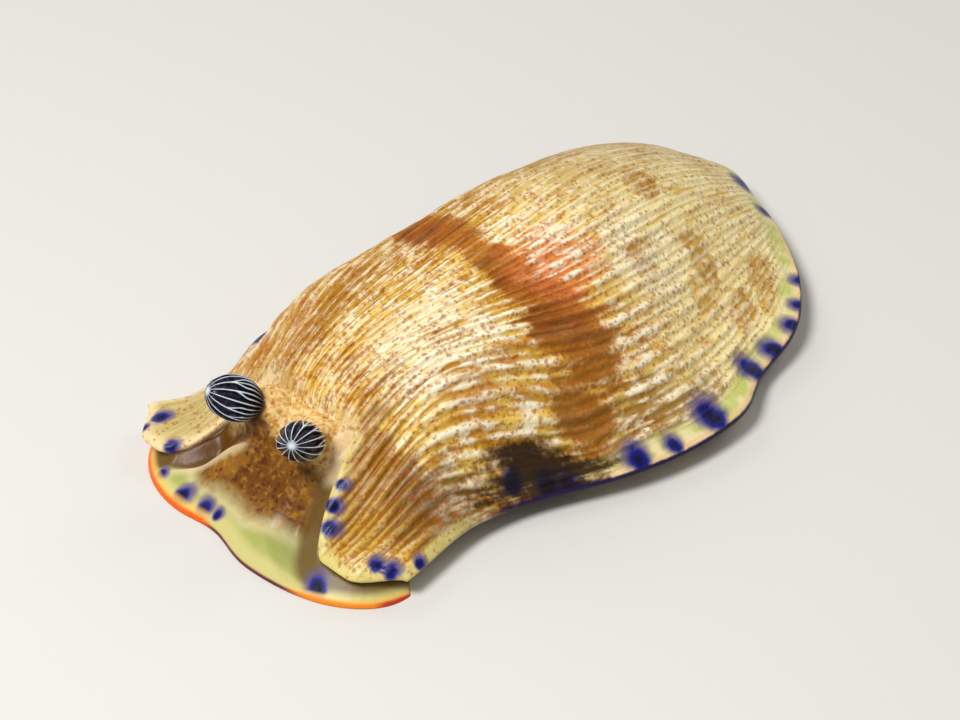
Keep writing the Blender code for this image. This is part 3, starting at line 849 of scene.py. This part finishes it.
def spot_radii(points, spots, centre):
    """The distance to the nearest spot, in that spot's radii, and to the nearest halo.

    A spot is an oval that points towards a centre. Its halo is round and lies further in.
    """
    core = np.full(len(points), NO_SPOT)
    halo = np.full(len(points), NO_SPOT)
    for x, y, radius in spots:
        inward = np.array([centre[0] - x, centre[1] - y])
        inward = inward / np.linalg.norm(inward)
        to_x, to_y = points[:, 0] - x, points[:, 1] - y
        along = to_x * inward[0] + to_y * inward[1]
        across = to_y * inward[0] - to_x * inward[1]
        plan = np.hypot(0.84 * along, 1.2 * across)
        inward = inward * radius * 0.5
        height = points[plan < plan.min() + 0.1, 2].max()
        rise = 0.6 * (points[:, 2] - height) ** 2
        core = np.minimum(core, np.sqrt(plan ** 2 + rise) / radius)
        plan = np.hypot(points[:, 0] - x - inward[0], points[:, 1] - y - inward[1])
        halo = np.minimum(halo, np.sqrt(plan ** 2 + rise) / radius)
    return core, halo


def put_spots(mesh, name, spots, centre):
    core, halo = spot_radii(coordinates(mesh), spots, centre)
    put_values(mesh, **{name + "_spot": core, name + "_halo": halo})


put_spots(mantle.data, "back", REAR_SPOTS + LOBE_SPOTS + tuple(far_margin_spots()), (0.0, 0.0))
put_values(mantle.data, under=smooth(ROLL_STEPS * 0.45, ROLL_STEPS * 0.75, ring))
x, y, _ = coordinates(fan.data).T
put_values(fan.data, veil_gap=margin_gap(x, y), hem=hem(x, y), trough=trough(x, y),
           rim_gap=line_gap(x, y, rim_front[:, :2])[0])
put_spots(fan.data, "veil", VEIL_SPOTS, (0.0, -14.0))
for number, shell in enumerate((mantle, fan, foot), 1):
    put_values(shell.data, owner=np.full(len(shell.data.vertices), float(number)))
print("spots:", len(REAR_SPOTS + LOBE_SPOTS + VEIL_SPOTS), "seen and", len(far_margin_spots()), "hidden")

# %% [markdown]
# ## One skin
# Mantle, head and foot overlap where one grows out of the other. A Boolean union makes them one
# closed skin, so no wall is left inside. Each source has a material of its own, and the union keeps
# every face's material, so a finish stays on the part that it was made for.

# %% Fuse the shells
CROSSING_ROUNDS = 5


def fuse(base, others):
    """Join the others to the base in one closed skin, and remove them."""
    group = bpy.data.collections.new("fused")
    for other in others:
        group.objects.link(other)
    change = base.modifiers.new("fuse", "BOOLEAN")
    change.operation = "UNION"
    change.operand_type = "COLLECTION"
    change.collection = group
    change.solver = "MANIFOLD"
    change.material_mode = "TRANSFER"
    depsgraph = bpy.context.evaluated_depsgraph_get()
    mesh = bpy.data.meshes.new_from_object(base.evaluated_get(depsgraph))
    base.modifiers.clear()
    base.data = mesh
    for other in others:
        bpy.data.objects.remove(other, do_unlink=True)
    bpy.data.collections.remove(group)


fan.data.materials.append(head_finish)
foot.data.materials.append(foot_finish)
fuse(mantle, [fan, foot])
skin = mantle


def read_values(mesh, name):
    numbers = np.empty(len(mesh.vertices), dtype=np.float32)
    mesh.attributes[name].data.foreach_get("value", numbers)
    return numbers


def fill_crossings(mesh, owner, names):
    """Where shells cross, the new points hold zeros: give them the mean of a shell's points nearby."""
    owners = read_values(mesh, "owner")
    ends = np.empty(2 * len(mesh.edges), dtype=np.int32)
    mesh.edges.foreach_get("vertices", ends)
    ends = np.concatenate([ends.reshape(-1, 2), ends.reshape(-1, 2)[:, ::-1]])
    known = np.abs(owners - owner) < 0.5
    for _ in range(CROSSING_ROUNDS):
        use = ends[(owners < 0.5)[ends[:, 0]] & ~known[ends[:, 0]] & known[ends[:, 1]]]
        count = np.bincount(use[:, 0], minlength=len(owners))
        for name in names:
            numbers = read_values(mesh, name)
            total = np.bincount(use[:, 0], weights=numbers[use[:, 1]], minlength=len(owners))
            filled = np.where(count > 0, total / np.maximum(count, 1), numbers)
            mesh.attributes[name].data.foreach_set("value", filled.astype(np.float32))
        known |= count > 0
    print("shell", owner, "lends its numbers to", int((known & (owners < 0.5)).sum()), "points")


fill_crossings(skin.data, 1, ("across", "along", "gap", "under", "back_spot", "back_halo"))
fill_crossings(skin.data, 2, ("veil_gap", "rim_gap", "hem", "trough", "veil_spot", "veil_halo"))
skin.name = "slug_skin"
print("skin:", len(skin.data.vertices), "points,", len(skin.data.polygons), "faces,",
      sum(len(p.vertices) - 2 for p in skin.data.polygons), "triangles,",
      [m.name for m in skin.data.materials], [a.name for a in skin.data.attributes])

# %% [markdown]
# ## The rhinophores
# The two feelers are clubs of thin upright plates round a dark core. The plates have white edges,
# and on their way up every second one leans over and runs into its neighbour, so the white lines
# fork. Each club starts as a plain rounded body, and a Geometry Nodes tree sinks the furrows
# between the plates into it and stores how near each point is to a plate's edge.

# %% Make the clubs
CLUB_PLATES = 28
PLATE_DEPTH = 0.34
PLATE_WIDTH = 0.30
WIDEST_RISE = 0.42
CLUB_COLUMNS = 240
CLUB_ROWS = 60


def club_body(side):
    """A rounded club that leans out of the head, with each point's turn and rise, from 0 to 1."""
    rise = np.linspace(0.0, 1.0, CLUB_ROWS)[1:-1]
    low = 0.50 + 0.50 * np.sin(np.pi * np.minimum(rise / WIDEST_RISE, 1.0) / 2.0)
    high = np.sqrt(np.maximum(1.0 - ((rise - WIDEST_RISE) / 0.585) ** 2.2, 0.0))
    radius = CLUB_RADIUS * np.where(rise > WIDEST_RISE, high, low) * np.minimum(1.0, np.sqrt(rise / 0.05))
    turn = np.arange(CLUB_COLUMNS) / CLUB_COLUMNS
    angle = 2.0 * math.pi * turn
    rings = np.stack([
        radius[:, None] * np.cos(angle), radius[:, None] * np.sin(angle),
        np.broadcast_to((CLUB_LENGTH * (rise - 0.5))[:, None], (len(rise), CLUB_COLUMNS))], -1)
    ends = np.array([[0.0, 0.0, -CLUB_LENGTH / 2], [0.0, 0.0, CLUB_LENGTH / 2]])
    points = np.concatenate([rings.reshape(-1, 3), ends])
    faces = tube_faces(CLUB_COLUMNS, len(rise)).tolist()
    last = (len(rise) - 1) * CLUB_COLUMNS
    for k in range(CLUB_COLUMNS):
        n = (k + 1) % CLUB_COLUMNS
        faces.append((n, k, len(points) - 2))
        faces.append((last + k, last + n, len(points) - 1))
    turns = np.concatenate([np.tile(turn, len(rise)), [0.0, 0.0]])
    rises = np.concatenate([np.repeat(rise, CLUB_COLUMNS), [0.0, 1.0]])
    lean = Vector(mirrored(CLUB_LEAN, side)).normalized()
    stand = np.array(lean.to_track_quat("Z", "Y").to_matrix())
    stand[:, 1] *= 0.86 if side > 0.0 else 1.0
    return points @ stand.T + mirrored(CLUB_CENTRE, side), faces, turns, rises


def plate_tree():
    inputs = {"Plates": CLUB_PLATES, "Plate depth": PLATE_DEPTH * MM, "Plate width": PLATE_WIDTH, "Seed": 3}
    tree, wires, leave, sizes = new_geometry_tree("club_plates", inputs)
    wire = wires["Geometry"]
    turn, rise = named(wire, "turn"), named(wire, "rise")
    lane = turn * wires["Plates"]
    pair = (lane * 0.5).math("FLOOR")
    draw = wire.node("FunctionNodeRandomValue", {"data_type": "FLOAT"},
                     {"ID": pair, "Seed": wires["Seed"]}, output=1)
    place = lane - pair * 2.0
    meet = 0.45 + 0.35 * draw
    merge = rise.node("ShaderNodeMapRange", {"interpolation_type": "SMOOTHSTEP"},
                      {"Value": rise, "From Min": meet - 0.3, "From Max": meet})
    flip = (draw * 7.0).math("FRACT").math("GREATER_THAN", 0.5)
    branch = 1.0 + merge * (flip * 2.0 - 1.0)
    width = wires["Plate width"]

    def plate(crest):
        near = (place - crest) / width
        return 1.0 / (1.0 + near * near * near * near)

    edge = plate(0.0) | plate(2.0) | plate(branch)
    ends = rise.step(0.0, 0.12) * rise.step(1.0, 0.86)
    sink = (1.0 - edge) * ends * (1.0 - 0.45 * rise) * wires["Plate depth"]
    kept = wire.node("GeometryNodeStoreNamedAttribute", {"data_type": "FLOAT", "domain": "POINT"},
                     {"Geometry": push_out(wire, 0.0 - sink), "Name": "plate_edge", "Value": edge})
    close_tree(kept, leave, club_finish)
    return tree, sizes


plates, plate_sizes = plate_tree()
clubs = {}
for name, side in (("left", 1.0), ("right", -1.0)):
    points, faces, turns, rises = club_body(side)
    club = make_shell("rhinophore_" + name, points, faces)
    put_values(club.data, turn=turns, rise=rises)
    apply_tree(club, plates, plate_sizes, {"Plates": CLUB_PLATES, "Plate depth": PLATE_DEPTH * MM})
    clubs[name] = club
    print("club", name, len(club.data.vertices), "points")

# %% [markdown]
# ## The gill flaps
# This animal breathes through a row of soft flaps under each side of the mantle. They show only
# from low down. One small tapered blade is repeated along the underside: Geometry Nodes puts a
# copy on each point of a line of places and turns it to stand across the edge.

# %% Hang the gill flaps
GILLS_A_SIDE = 22
GILL_DEPTH = 0.8
GILL_LENGTH = 2.3
GILL_THICKNESS = 0.34


def gill_places():
    """Where each flap hangs under the skirt, and the way it points, out and a little back."""
    places, headings = [], []
    for side in (-1.0, 1.0):
        for k in range(GILLS_A_SIDE):
            share = k / (GILLS_A_SIDE - 1)
            q = -0.36 + 1.06 * share
            inner = notum_point(np.float64(side * 0.68), np.float64(q))
            outer = notum_point(np.float64(side * 0.88), np.float64(q + 0.05 + 0.07 * share))
            places.append(under_point(np.float64(side * 0.79), np.float64(q), MARGIN_THICKNESS + 0.24))
            headings.append(math.atan2(outer[1] - inner[1], outer[0] - inner[0]))
    return np.array(places), headings


def gill_tree():
    inputs = {"Length": GILL_LENGTH * MM, "Depth": GILL_DEPTH * MM, "Thickness": GILL_THICKNESS * MM}
    tree, wires, leave, sizes = new_geometry_tree("gill_flaps", inputs)
    wire = wires["Geometry"]
    size = wire.point(wires["Length"], wires["Thickness"], wires["Depth"] * 2.0)
    counts = {"Vertices X": 7, "Vertices Y": 3, "Vertices Z": 4}
    blade = wire.node("GeometryNodeMeshCube", {}, {"Size": size, **counts})
    x, y, z = wire.node("GeometryNodeInputPosition").split()
    end = x / wires["Length"] * 2.0
    round_share = (1.0 - end * end * 0.92).math("SQRT")
    deep = 0.5 - z / wires["Depth"] / 2.0
    shaped = wire.point(x, y * (1.0 - 0.6 * deep), z * (0.35 + 0.65 * round_share) * 0.5)
    rounded = wire.node("GeometryNodeSetPosition", {}, {"Geometry": blade, "Position": shaped})
    turned = wire.node("ShaderNodeCombineXYZ", {}, {"Z": named(wire, "heading")})
    copies = wire.node("GeometryNodeInstanceOnPoints", {},
                       {"Points": wire, "Instance": rounded, "Rotation": turned})
    close_tree(copies, leave, foot_finish)
    return tree, sizes


gill_points, gill_headings = gill_places()
gill_mesh = bpy.data.meshes.new("gills")
gill_mesh.from_pydata((gill_points * MM).tolist(), [], [])
put_values(gill_mesh, heading=gill_headings)
gills = put_object("gill_flaps", gill_mesh)
gill_nodes, gill_sizes = gill_tree()
apply_tree(gills, gill_nodes, gill_sizes, {"Length": GILL_LENGTH * MM})
print("gills:", len(gills.data.polygons), "faces", len(gills.data.vertices), "points")

# %% [markdown]
# ## How a finish is built up
# A finish is built up like a painting: a ground, then coats over it, each with a colour and a mask
# that says where it lies. Wet flesh lets a little light in and has a thin clear film.

# %% Start a material
def begin(material):
    """Clear a material; return a wire on its tree, its shader node and each place in millimetres."""
    tree = material.node_tree
    tree.nodes.clear()
    shader = tree.nodes.new("ShaderNodeBsdfPrincipled")
    output = tree.nodes.new("ShaderNodeOutputMaterial")
    tree.links.new(shader.outputs["BSDF"], output.inputs["Surface"])
    wire = Wire(tree)
    spot = wire.node("ShaderNodeTexCoord", {}, {}, output=3)
    place = wire.node("ShaderNodeVectorMath", {"operation": "SCALE"}, {0: spot, "Scale": 1.0 / MM})
    return wire, shader, place


def attribute(wire, name):
    return wire.node("ShaderNodeAttribute", {"attribute_name": name}, {}, output=2)


def noise(wire, place, scale, detail=2.0, roughness=0.5):
    inputs = {"Vector": place, "Scale": scale, "Detail": detail, "Roughness": roughness}
    return wire.node("ShaderNodeTexNoise", {}, inputs)


def coats(wire, ground, *layers):
    """Lay coats over a ground in turn: each has a colour and a mask from 0 to 1."""
    for tint, mask in layers:
        ground = wire.mix(ground, tint, mask)
    return ground


def bump(height, strength, distance):
    inputs = {"Strength": strength, "Distance": distance * MM, "Height": height}
    return height.node("ShaderNodeBump", {}, inputs)


def wet_skin(shader, tint, relief=None, roughness=0.42, coat=0.1):
    """Give a shader its colour, its relief and what is the same all over a wet skin."""
    tint.tree.links.new(tint.socket, shader.inputs["Base Color"])
    if relief is not None:
        tint.tree.links.new(relief.socket, shader.inputs["Normal"])
    constants = {
        "Roughness": roughness, "Coat Weight": coat, "Coat Roughness": 0.18, "Specular IOR Level": 0.15,
        "Subsurface Weight": 0.18, "Subsurface Radius": (1.0, 0.55, 0.3), "Subsurface Scale": 0.7 * MM}
    for label, value in constants.items():
        shader.inputs[label].default_value = value


numbers = [a.name for a in skin.data.attributes if a.data_type == "FLOAT"]
print("numbers that a finish can read from the skin:", sorted(numbers))

# %% [markdown]
# ## Specks and spots
# Fine specks cover the animal. A Voronoi texture gives scattered cells, and a speck is drawn in a
# share of them. The blue spots are no texture: each stands at a place of its own.

# %% Draw specks and spots
def specks(wire, place, size, amount):
    """Small round specks: 1 inside. Amount, from 0 to 1, is the share of places that hold one."""
    bent = Wire(wire.tree, noise(wire, place, 1.6 / size, 1.0).socket.node.outputs["Color"])
    shift = wire.node("ShaderNodeVectorMath", {"operation": "SCALE"}, {0: bent, "Scale": size * 0.9})
    moved = wire.node("ShaderNodeVectorMath", {"operation": "ADD"}, {0: place, 1: shift})
    cells = wire.node("ShaderNodeTexVoronoi", {"feature": "F1"}, {"Vector": moved, "Scale": 1.0 / size})
    number = Wire(wire.tree, cells.socket.node.outputs["Color"])
    pick = wire.node("ShaderNodeSeparateColor", {}, {"Color": number})
    return cells.step(0.55, 0.12) * (amount - pick).step(-0.05, 0.05)


def add_spots(wire, base, place, name):
    """Blue spots with a black heart and a soft mauve halo over a base colour."""
    def nearer(known, spot, radius):
        away = wire.node("ShaderNodeVectorMath", {"operation": "DISTANCE"}, {0: place, 1: spot}, output=1)
        return known.math("MINIMUM", away / radius)

    shake = 0.7 * (noise(wire, place, 1.5, 3.0) - 0.5)
    spot, halo = attribute(wire, name + "_spot"), attribute(wire, name + "_halo")
    for x, y, z, radius in RIM_SPOTS:
        spot = nearer(spot, (x, y, z), radius)
        halo = nearer(halo, (x + 0.2, y + 0.15, z), radius)
    spot, halo = spot + shake, halo + shake
    return coats(
        wire, base,
        ((100, 84, 116), 0.85 * halo.step(1.7, 0.8)),
        ((20, 28, 128), spot.step(1.25, 0.62)),
        ((6, 6, 24), 0.95 * spot.step(0.85, 0.2)))


print(len(RIM_SPOTS), "spots stand on the steep rim beside the head")

# %% [markdown]
# ## The finish of the mantle
# The back is tan, with broken cream streaks that lie along the ridges and fine rust-brown specks
# that gather into clouds. A chestnut saddle crosses it, with a salmon patch where red shows
# through from below. The margin is smooth and pale green-yellow. The streaks are noise stretched
# along the ridges, because they read the plan of the back; the specks read true millimetres.
# Some shade is painted too: near-black where the near flank folds in above the margin, darker
# brown low on the near flank and on the far slope, and in part on the near front flank.

# %% Paint the mantle
SMALL_SPECK = 0.24
LARGE_SPECK = 0.40
PATCH_RAGGEDNESS = 3.2
BACK_HALF_LENGTH = 19.0


def mantle_skin(material):
    wire, shader, place = begin(material)
    across, along, gap, under = (attribute(wire, name) for name in ("across", "along", "gap", "under"))
    lane = (across / RIDGE_SHARE + 1.0) * (RIDGE_COUNT / 2.0)
    crest = (0.5 - 0.5 * lane.wave()) ** 1.5 | 0.9 * (0.5 + 0.5 * lane.wave()) ** 6.0
    run = along * BACK_HALF_LENGTH

    def lane_noise(by_lane, by_run, seed, detail, roughness=0.5):
        """Noise drawn out along the ridges."""
        return noise(wire, wire.point(by_lane, run * by_run, seed), 1.0, detail, roughness)

    cloud = noise(wire, place, 0.33, 3.0)
    fine = noise(wire, place, 2.2, 3.0, 0.6)
    fibre = lane_noise(lane * 1.2, 0.25, 3.0, 2.0, 0.6)
    warp = (cloud - 0.5) * 0.3 + (fine - 0.5) * 0.5 + (fibre - 0.5) * 0.9

    def patches(*ovals):
        """Join ragged ovals: each has its middle and half sizes in r and q, a softness and a strength."""
        joined = None
        for r, q, half_r, half_q, soft, strength in ovals:
            x, y = (across - r) / half_r, (along - q) / half_q
            away = x * x + y * y + warp * PATCH_RAGGEDNESS
            oval = away.step(1.0 + soft, 1.0 - soft) * strength
            joined = oval if joined is None else joined | oval
        return joined

    saddle = patches(
        (0.52, -0.24, 0.19, 0.10, 0.5, 1.0), (0.12, -0.27, 0.28, 0.05, 0.6, 0.9),
        (-0.34, -0.27, 0.3, 0.075, 0.6, 0.95), (0.77, -0.32, 0.12, 0.06, 0.6, 0.95),
        (0.34, -0.29, 0.12, 0.05, 0.6, 0.9))
    rear = patches(
        (0.16, 0.34, 0.1, 0.07, 0.35, 1.0), (0.435, 0.08, 0.06, 0.05, 0.35, 1.0),
        (0.51, 0.38, 0.1, 0.07, 0.35, 1.0), (0.74, 0.47, 0.08, 0.09, 0.35, 1.0),
        (0.62, 0.27, 0.06, 0.05, 0.35, 0.5), (0.76, 0.66, 0.13, 0.11, 0.6, 0.7))
    middle = patches((0.34, -0.58, 0.3, 0.17, 0.8, 1.0), (0.4, 0.14, 0.17, 0.17, 0.7, 1.0))
    brown = patches((0.66, -0.55, 0.12, 0.06, 0.6, 0.6))
    salmon = patches((0.26, -0.15, 0.21, 0.12, 0.7, 1.0))
    # Painted shade: a dark patch where the near flank folds in above the margin and lies in shade.
    flank_shade = patches((0.92, -0.48, 0.12, 0.15, 0.6, 1.0))
    # Painted shade: darker brown low on the near flank, which faces down towards the sand.
    low_flank_shade = patches((0.98, -0.74, 0.2, 0.15, 0.7, 1.0))
    # Partly painted shade: the near front flank is a darker brown, partly its own colour and partly its
    # shade.
    front_flank_brown_and_shade = patches((0.72, -0.85, 0.26, 0.13, 0.7, 1.0))
    rear_flank = patches((0.85, -0.16, 0.12, 0.26, 0.7, 1.0))
    # Painted shade: the far slope faces away from the light, so it is painted darker and browner, with
    # fainter streaks.
    far_slope_shade = across.step(-0.05, -0.4)
    rear_far = (across + 0.4 * warp).step(0.25, -0.1) * along.step(-0.15, 0.2)
    # dark joins the chestnut saddle, the animal's own colour, and the painted shade of the near flank.
    dark = saddle | flank_shade * 0.8
    rear_light = along.step(-0.18, 0.1) * (1.0 - rear * 0.6)

    lump = lane_noise(lane * 0.5, 0.2, 9.0, 1.0)
    streak = lane_noise(lane * 1.5, 0.36, 2.0, 3.0, 0.6)
    pale = (streak + 0.12 * crest + 0.5 * (lump - 0.5)).step(0.44, 0.66)
    # The streaks are dimmed where shade is painted on the flanks and on the far slope.
    pale = pale * (1.0 - 0.92 * dark) * (1.0 - 0.7 * salmon) * (1.0 - 0.5 * (front_flank_brown_and_shade | far_slope_shade))
    dash = lane_noise(lane * 2.4 + 7.0, 0.9, 5.0, 2.0)
    bright = (dash + 0.2 * crest + 0.4 * (lump - 0.5) + 0.07 * middle).step(0.53, 0.82) * (1.0 - 0.8 * dark)
    bright = bright * (0.95 - 0.5 * along.step(-0.2, 0.2)) * (1.0 - 0.4 * (low_flank_shade | far_slope_shade))
    bright = bright * (1.0 - 0.3 * along.step(-0.62, -0.8)) * (1.0 - 0.7 * front_flank_brown_and_shade)
    lobes = along.step(-0.74, -0.86)
    near_lobe, far_lobe = lobes * across.step(0.5, 0.62), lobes * across.step(-0.5, -0.62)
    front_rim = (gap + 0.6 * (fine - 0.5)).step(0.75, 0.15) * along.step(-0.62, -0.8)
    front_rim = front_rim * (0.3 + 0.7 * across.math("ABSOLUTE").step(0.3, 0.45))
    density = 0.5 + 0.5 * cloud.step(0.56, 0.38) + 0.45 * along.step(-0.55, -0.85) + 0.4 * dark
    density = density * (1.0 - 0.4 * along.step(-0.1, 0.3)) * (1.0 - 0.7 * (far_lobe | front_rim))
    specked = specks(wire, place, SMALL_SPECK, density) | specks(wire, place, LARGE_SPECK, density * 0.8)

    chestnut = coats(
        wire, (112, 50, 0),
        ((176, 98, 8), fibre.step(0.36, 0.62)),
        ((140, 92, 16), across.step(0.45, 0.65) * 0.7))
    ground = coats(
        wire, (184, 122, 18),
        ((214, 168, 60), cloud.step(0.35, 0.65)),
        ((238, 200, 100), pale * 0.9),
        ((244, 224, 156), rear_light * fibre.step(0.25, 0.55) * 0.85),
        ((188, 136, 30), rear * 0.75),
        ((188, 122, 8), brown * 1.4),
        ((255, 240, 194), middle * fibre.step(0.35, 0.6) * 0.75),
        # Painted shade, next three coats: the near front flank (in part its own brown), low on the near
        # flank, and the far slope.
        ((144, 94, 4), front_flank_brown_and_shade * 0.85),
        ((104, 66, 10), low_flank_shade * 0.85),
        ((150, 104, 26), far_slope_shade * 0.55),
        ((158, 122, 62), rear_far * 0.5),
        ((146, 116, 56), rear_flank * 0.75),
        (chestnut, dark * 0.92),
        ((232, 124, 66), salmon * (0.5 + 0.35 * fibre.step(0.4, 0.6))),
        (wire.mix((255, 244, 212), (214, 142, 44), dark * 0.9), bright),
        ((214, 178, 60), near_lobe * crest.step(0.45, 0.85) * 0.45),
        ((146, 88, 14), near_lobe * crest.step(0.45, 0.15) * 0.6),
        ((190, 172, 108), far_lobe * 0.8),
        (wire.mix((236, 212, 160), (214, 202, 124), across.step(0.45, 0.6)), front_rim * 0.85),
        ((160, 82, 4), specked * 0.68))

    border = coats(
        wire, (196, 198, 108),
        ((226, 214, 158), noise(wire, place, 0.9, 2.0).step(0.4, 0.62)),
        ((240, 196, 150), gap.step(0.5, 0.25) * 0.6))
    rim = (gap + 0.6 * (cloud - 0.5)).step(1.5, 0.9) * along.step(-0.62, -0.5)
    # The pale margin band is left out where the painted flank shade lies.
    below = coats(wire, ground, (border, rim * (1.0 - 0.8 * flank_shade)), ((222, 206, 170), under))
    edge_line = (gap + 0.1 * (fine - 0.5)).step(0.14, 0.04)
    # Painted shade: near-black over the folded-in near flank; then the margin's own thin edge line.
    edged = coats(
        wire, add_spots(wire, below, place, "back"),
        ((24, 12, 4), flank_shade * 0.92),
        ((36, 26, 66), edge_line * along.step(-0.75, -0.5)))
    strand = (lane * 2.0 + 1.5 * (fine - 0.5)).wave() * gap.step(0.6, 1.6)
    wet_skin(shader, edged, bump(fine + 0.5 * bright + 0.35 * strand, 0.5, 0.12))


mantle_skin(mantle_finish)
print("mantle painted with", len(mantle_finish.node_tree.nodes), "nodes")

# %% [markdown]
# ## The finish of the head, the veil and the foot
# The head's skin is brown and clear, with darker specks, and the veil's border is an opaque pale
# green-yellow band. Its very edge is orange, and purple in places. The foot is plain and pale.

# %% Paint the head and the foot
EDGE_WIDTH = 0.26


def head_skin(material):
    wire, shader, place = begin(material)
    names = ("veil_gap", "rim_gap", "hem", "trough")
    gap, rim_gap, hem_share, trough_share = (attribute(wire, name) for name in names)
    x, y, z = place.split()
    cloud = noise(wire, place, 0.5, 3.0)
    fine = noise(wire, place, 2.6, 3.0, 0.6)
    mottle = noise(wire, place, 4.5, 2.0, 0.6)
    small = specks(wire, place, 0.34, 0.6 + 0.4 * cloud)
    large = specks(wire, place, 0.6, 0.4 + 0.5 * cloud)
    reach = 1.3 + 1.1 * x.step(0.2, 3.5) + 0.5 * x.step(-2.6, -4.2)
    band = (gap - reach + 0.7 * (cloud - 0.5) + 0.5 * (fine - 0.5)).step(0.5, -0.4)
    inner = (gap - reach + 0.5 * (cloud - 0.5)).step(-0.8, -0.25)
    cream = coats(
        wire, (164, 168, 90),
        ((196, 184, 130), inner),
        ((212, 198, 132), gap.step(0.95, 0.45) * 0.7),
        ((142, 146, 92), (x + 0.8 * cloud).step(2.2, 5.2) * gap.step(0.7, 1.4) * 0.6))
    crown = coats(
        wire, (204, 154, 72),
        ((232, 204, 146), mottle.step(0.36, 0.66)),
        ((146, 72, 10), small * 0.7))
    groove = rim_gap.step(1.5, 0.8) * x.step(2.2, 3.4) * gap.step(0.25, 0.7)
    sheath = rim_gap.step(1.0, 0.45) * x.step(2.4, 3.1) * y.step(-15.9, -15.2)
    ground = coats(
        wire, (104, 62, 6),
        ((138, 92, 24), cloud.step(0.35, 0.65)),
        ((184, 126, 40), fine.step(0.48, 0.68) * 0.55),
        ((84, 34, 8), (small | large) * 0.85),
        (cream, band),
        ((104, 78, 36), groove * 0.9),
        # The hollow beside the far lobe: brown of its own, painted darker still as the shade under the
        # lobe.
        ((94, 58, 16), trough_share.step(0.05, 0.35) * 0.92),
        ((210, 190, 146), (hem_share + 0.3 * (fine - 0.5)).step(0.25, 1.0) * 0.75),
        (crown, (y + 1.2 * (cloud - 0.5)).step(-15.7, -15.1) * x.math("ABSOLUTE").step(4.2, 3.4)),
        ((232, 206, 168), sheath * 0.85))

    near_middle = (x + 1.3).step(-0.4, 0.8) * (x - 5.0).step(1.2, -0.6)
    edge_colour = coats(
        wire, (238, 98, 20),
        ((246, 138, 34), x.step(3.0, 6.0)),
        ((206, 54, 26), x.step(8.3, 9.0) * y.step(-17.9, -17.2)),
        ((112, 40, 52), near_middle))
    width = EDGE_WIDTH - 0.14 * near_middle - 0.08 * x.step(4.0, 6.0)
    glow = ((width * 2.2 - gap) / width).step(0.0, 1.2) * (1.0 - near_middle)
    low = z.step(0.26, 0.14) | (1.0 - near_middle)
    line = ((width - gap) / width + 0.3 * (fine - 0.5)).step(0.0, 0.8) * low
    edged = coats(
        wire, add_spots(wire, ground, place, "veil"),
        ((232, 186, 84), glow * 0.7),
        (edge_colour, line))
    wet_skin(shader, edged, bump(fine, 0.35, 0.1))


def foot_skin(material):
    wire, shader, place = begin(material)
    tint = wire.mix((214, 190, 146), (232, 218, 184), noise(wire, place, 0.8, 3.0).step(0.4, 0.6))
    wet_skin(shader, tint, bump(noise(wire, place, 3.0), 0.25, 0.1))


head_skin(head_finish)
foot_skin(foot_finish)
print("head painted with", len(head_finish.node_tree.nodes), "nodes")

# %% [markdown]
# ## The finish of the clubs
# The plates are navy, almost black, and their edges are white with a breath of blue. The tip is
# white, where the plates meet. The plates are in the mesh, so this finish has no relief.

# %% Paint the clubs
def club_skin(material):
    wire, shader, place = begin(material)
    edge, rise = attribute(wire, "plate_edge"), attribute(wire, "rise")
    fine = noise(wire, place, 4.0, 2.0)
    dark = wire.mix((24, 22, 40), (58, 52, 70), fine.step(0.45, 0.7))
    white = (edge + 0.10 * (fine - 0.5)).step(0.88, 1.0) * rise.step(0.05, 0.4)
    tip = rise.step(0.982, 0.998)
    wet_skin(shader, wire.mix(dark, (206, 218, 224), white | tip), roughness=0.3, coat=0.3)


club_skin(club_finish)
print("clubs painted with", len(club_finish.node_tree.nodes), "nodes")

# %% [markdown]
# ## Hand the pieces over
# Each piece rides on the animal's one body, and the solids that it stands for are hidden. All faces
# are shaded smoothly, so the ridges read as soft flesh.

# %% Ride and replace
for piece in (skin, gills, *clubs.values()):
    piece.data.shade_smooth()
    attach(piece, "root")
flesh = ("notum", "foot", "tail", "head", "oral_veil", "rhinophore_stalk_left", "rhinophore_stalk_right")
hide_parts(*flesh)
for name, club in clubs.items():
    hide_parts("rhinophore_club_" + name)
print("pieces ride on root")

# %% [markdown]
# ## Floor and light
# The animal stands on a pale sheet, lit by a wide soft lamp from the front, near the camera, and
# two weaker ones that open up the shadows.

# %% Set the stage
FLOOR_HALF = 400.0
floor_mesh = bpy.data.meshes.new("floor")
corners = np.array([(-1, -1, 0), (1, -1, 0), (1, 1, 0), (-1, 1, 0)]) * FLOOR_HALF * MM
floor_mesh.from_pydata(corners.tolist(), [], [(0, 1, 2, 3)])
floor = put_object("floor", floor_mesh)
floor_paint = stand_in("floor_paint")
sheet = floor_paint.node_tree.nodes["Principled BSDF"].inputs
sheet["Base Color"].default_value = paint(214, 212, 206)
sheet["Roughness"].default_value = 0.8
floor_mesh.materials.append(floor_paint)


def soft_lamp(name, azimuth, elevation, distance, size, power):
    data = bpy.data.lights.new(name, "AREA")
    data.shape = "DISK"
    data.size = size * MM
    data.energy = power
    aim(put_object(name, data), Vector(), azimuth, elevation, distance)


soft_lamp("key", 0.0, 58.0, 220.0, 80.0, 0.43)
soft_lamp("fill", -95.0, 40.0, 260.0, 160.0, 0.12)
soft_lamp("rim", 170.0, 40.0, 240.0, 120.0, 0.08)
world = bpy.data.worlds.new("studio")
world.use_nodes = True
sky = world.node_tree.nodes["Background"].inputs
sky["Color"].default_value = (1.0, 0.98, 0.95, 1.0)
sky["Strength"].default_value = 0.3
bpy.context.scene.world = world
bpy.context.scene.view_settings.view_transform = "Standard"
print("stage is set")
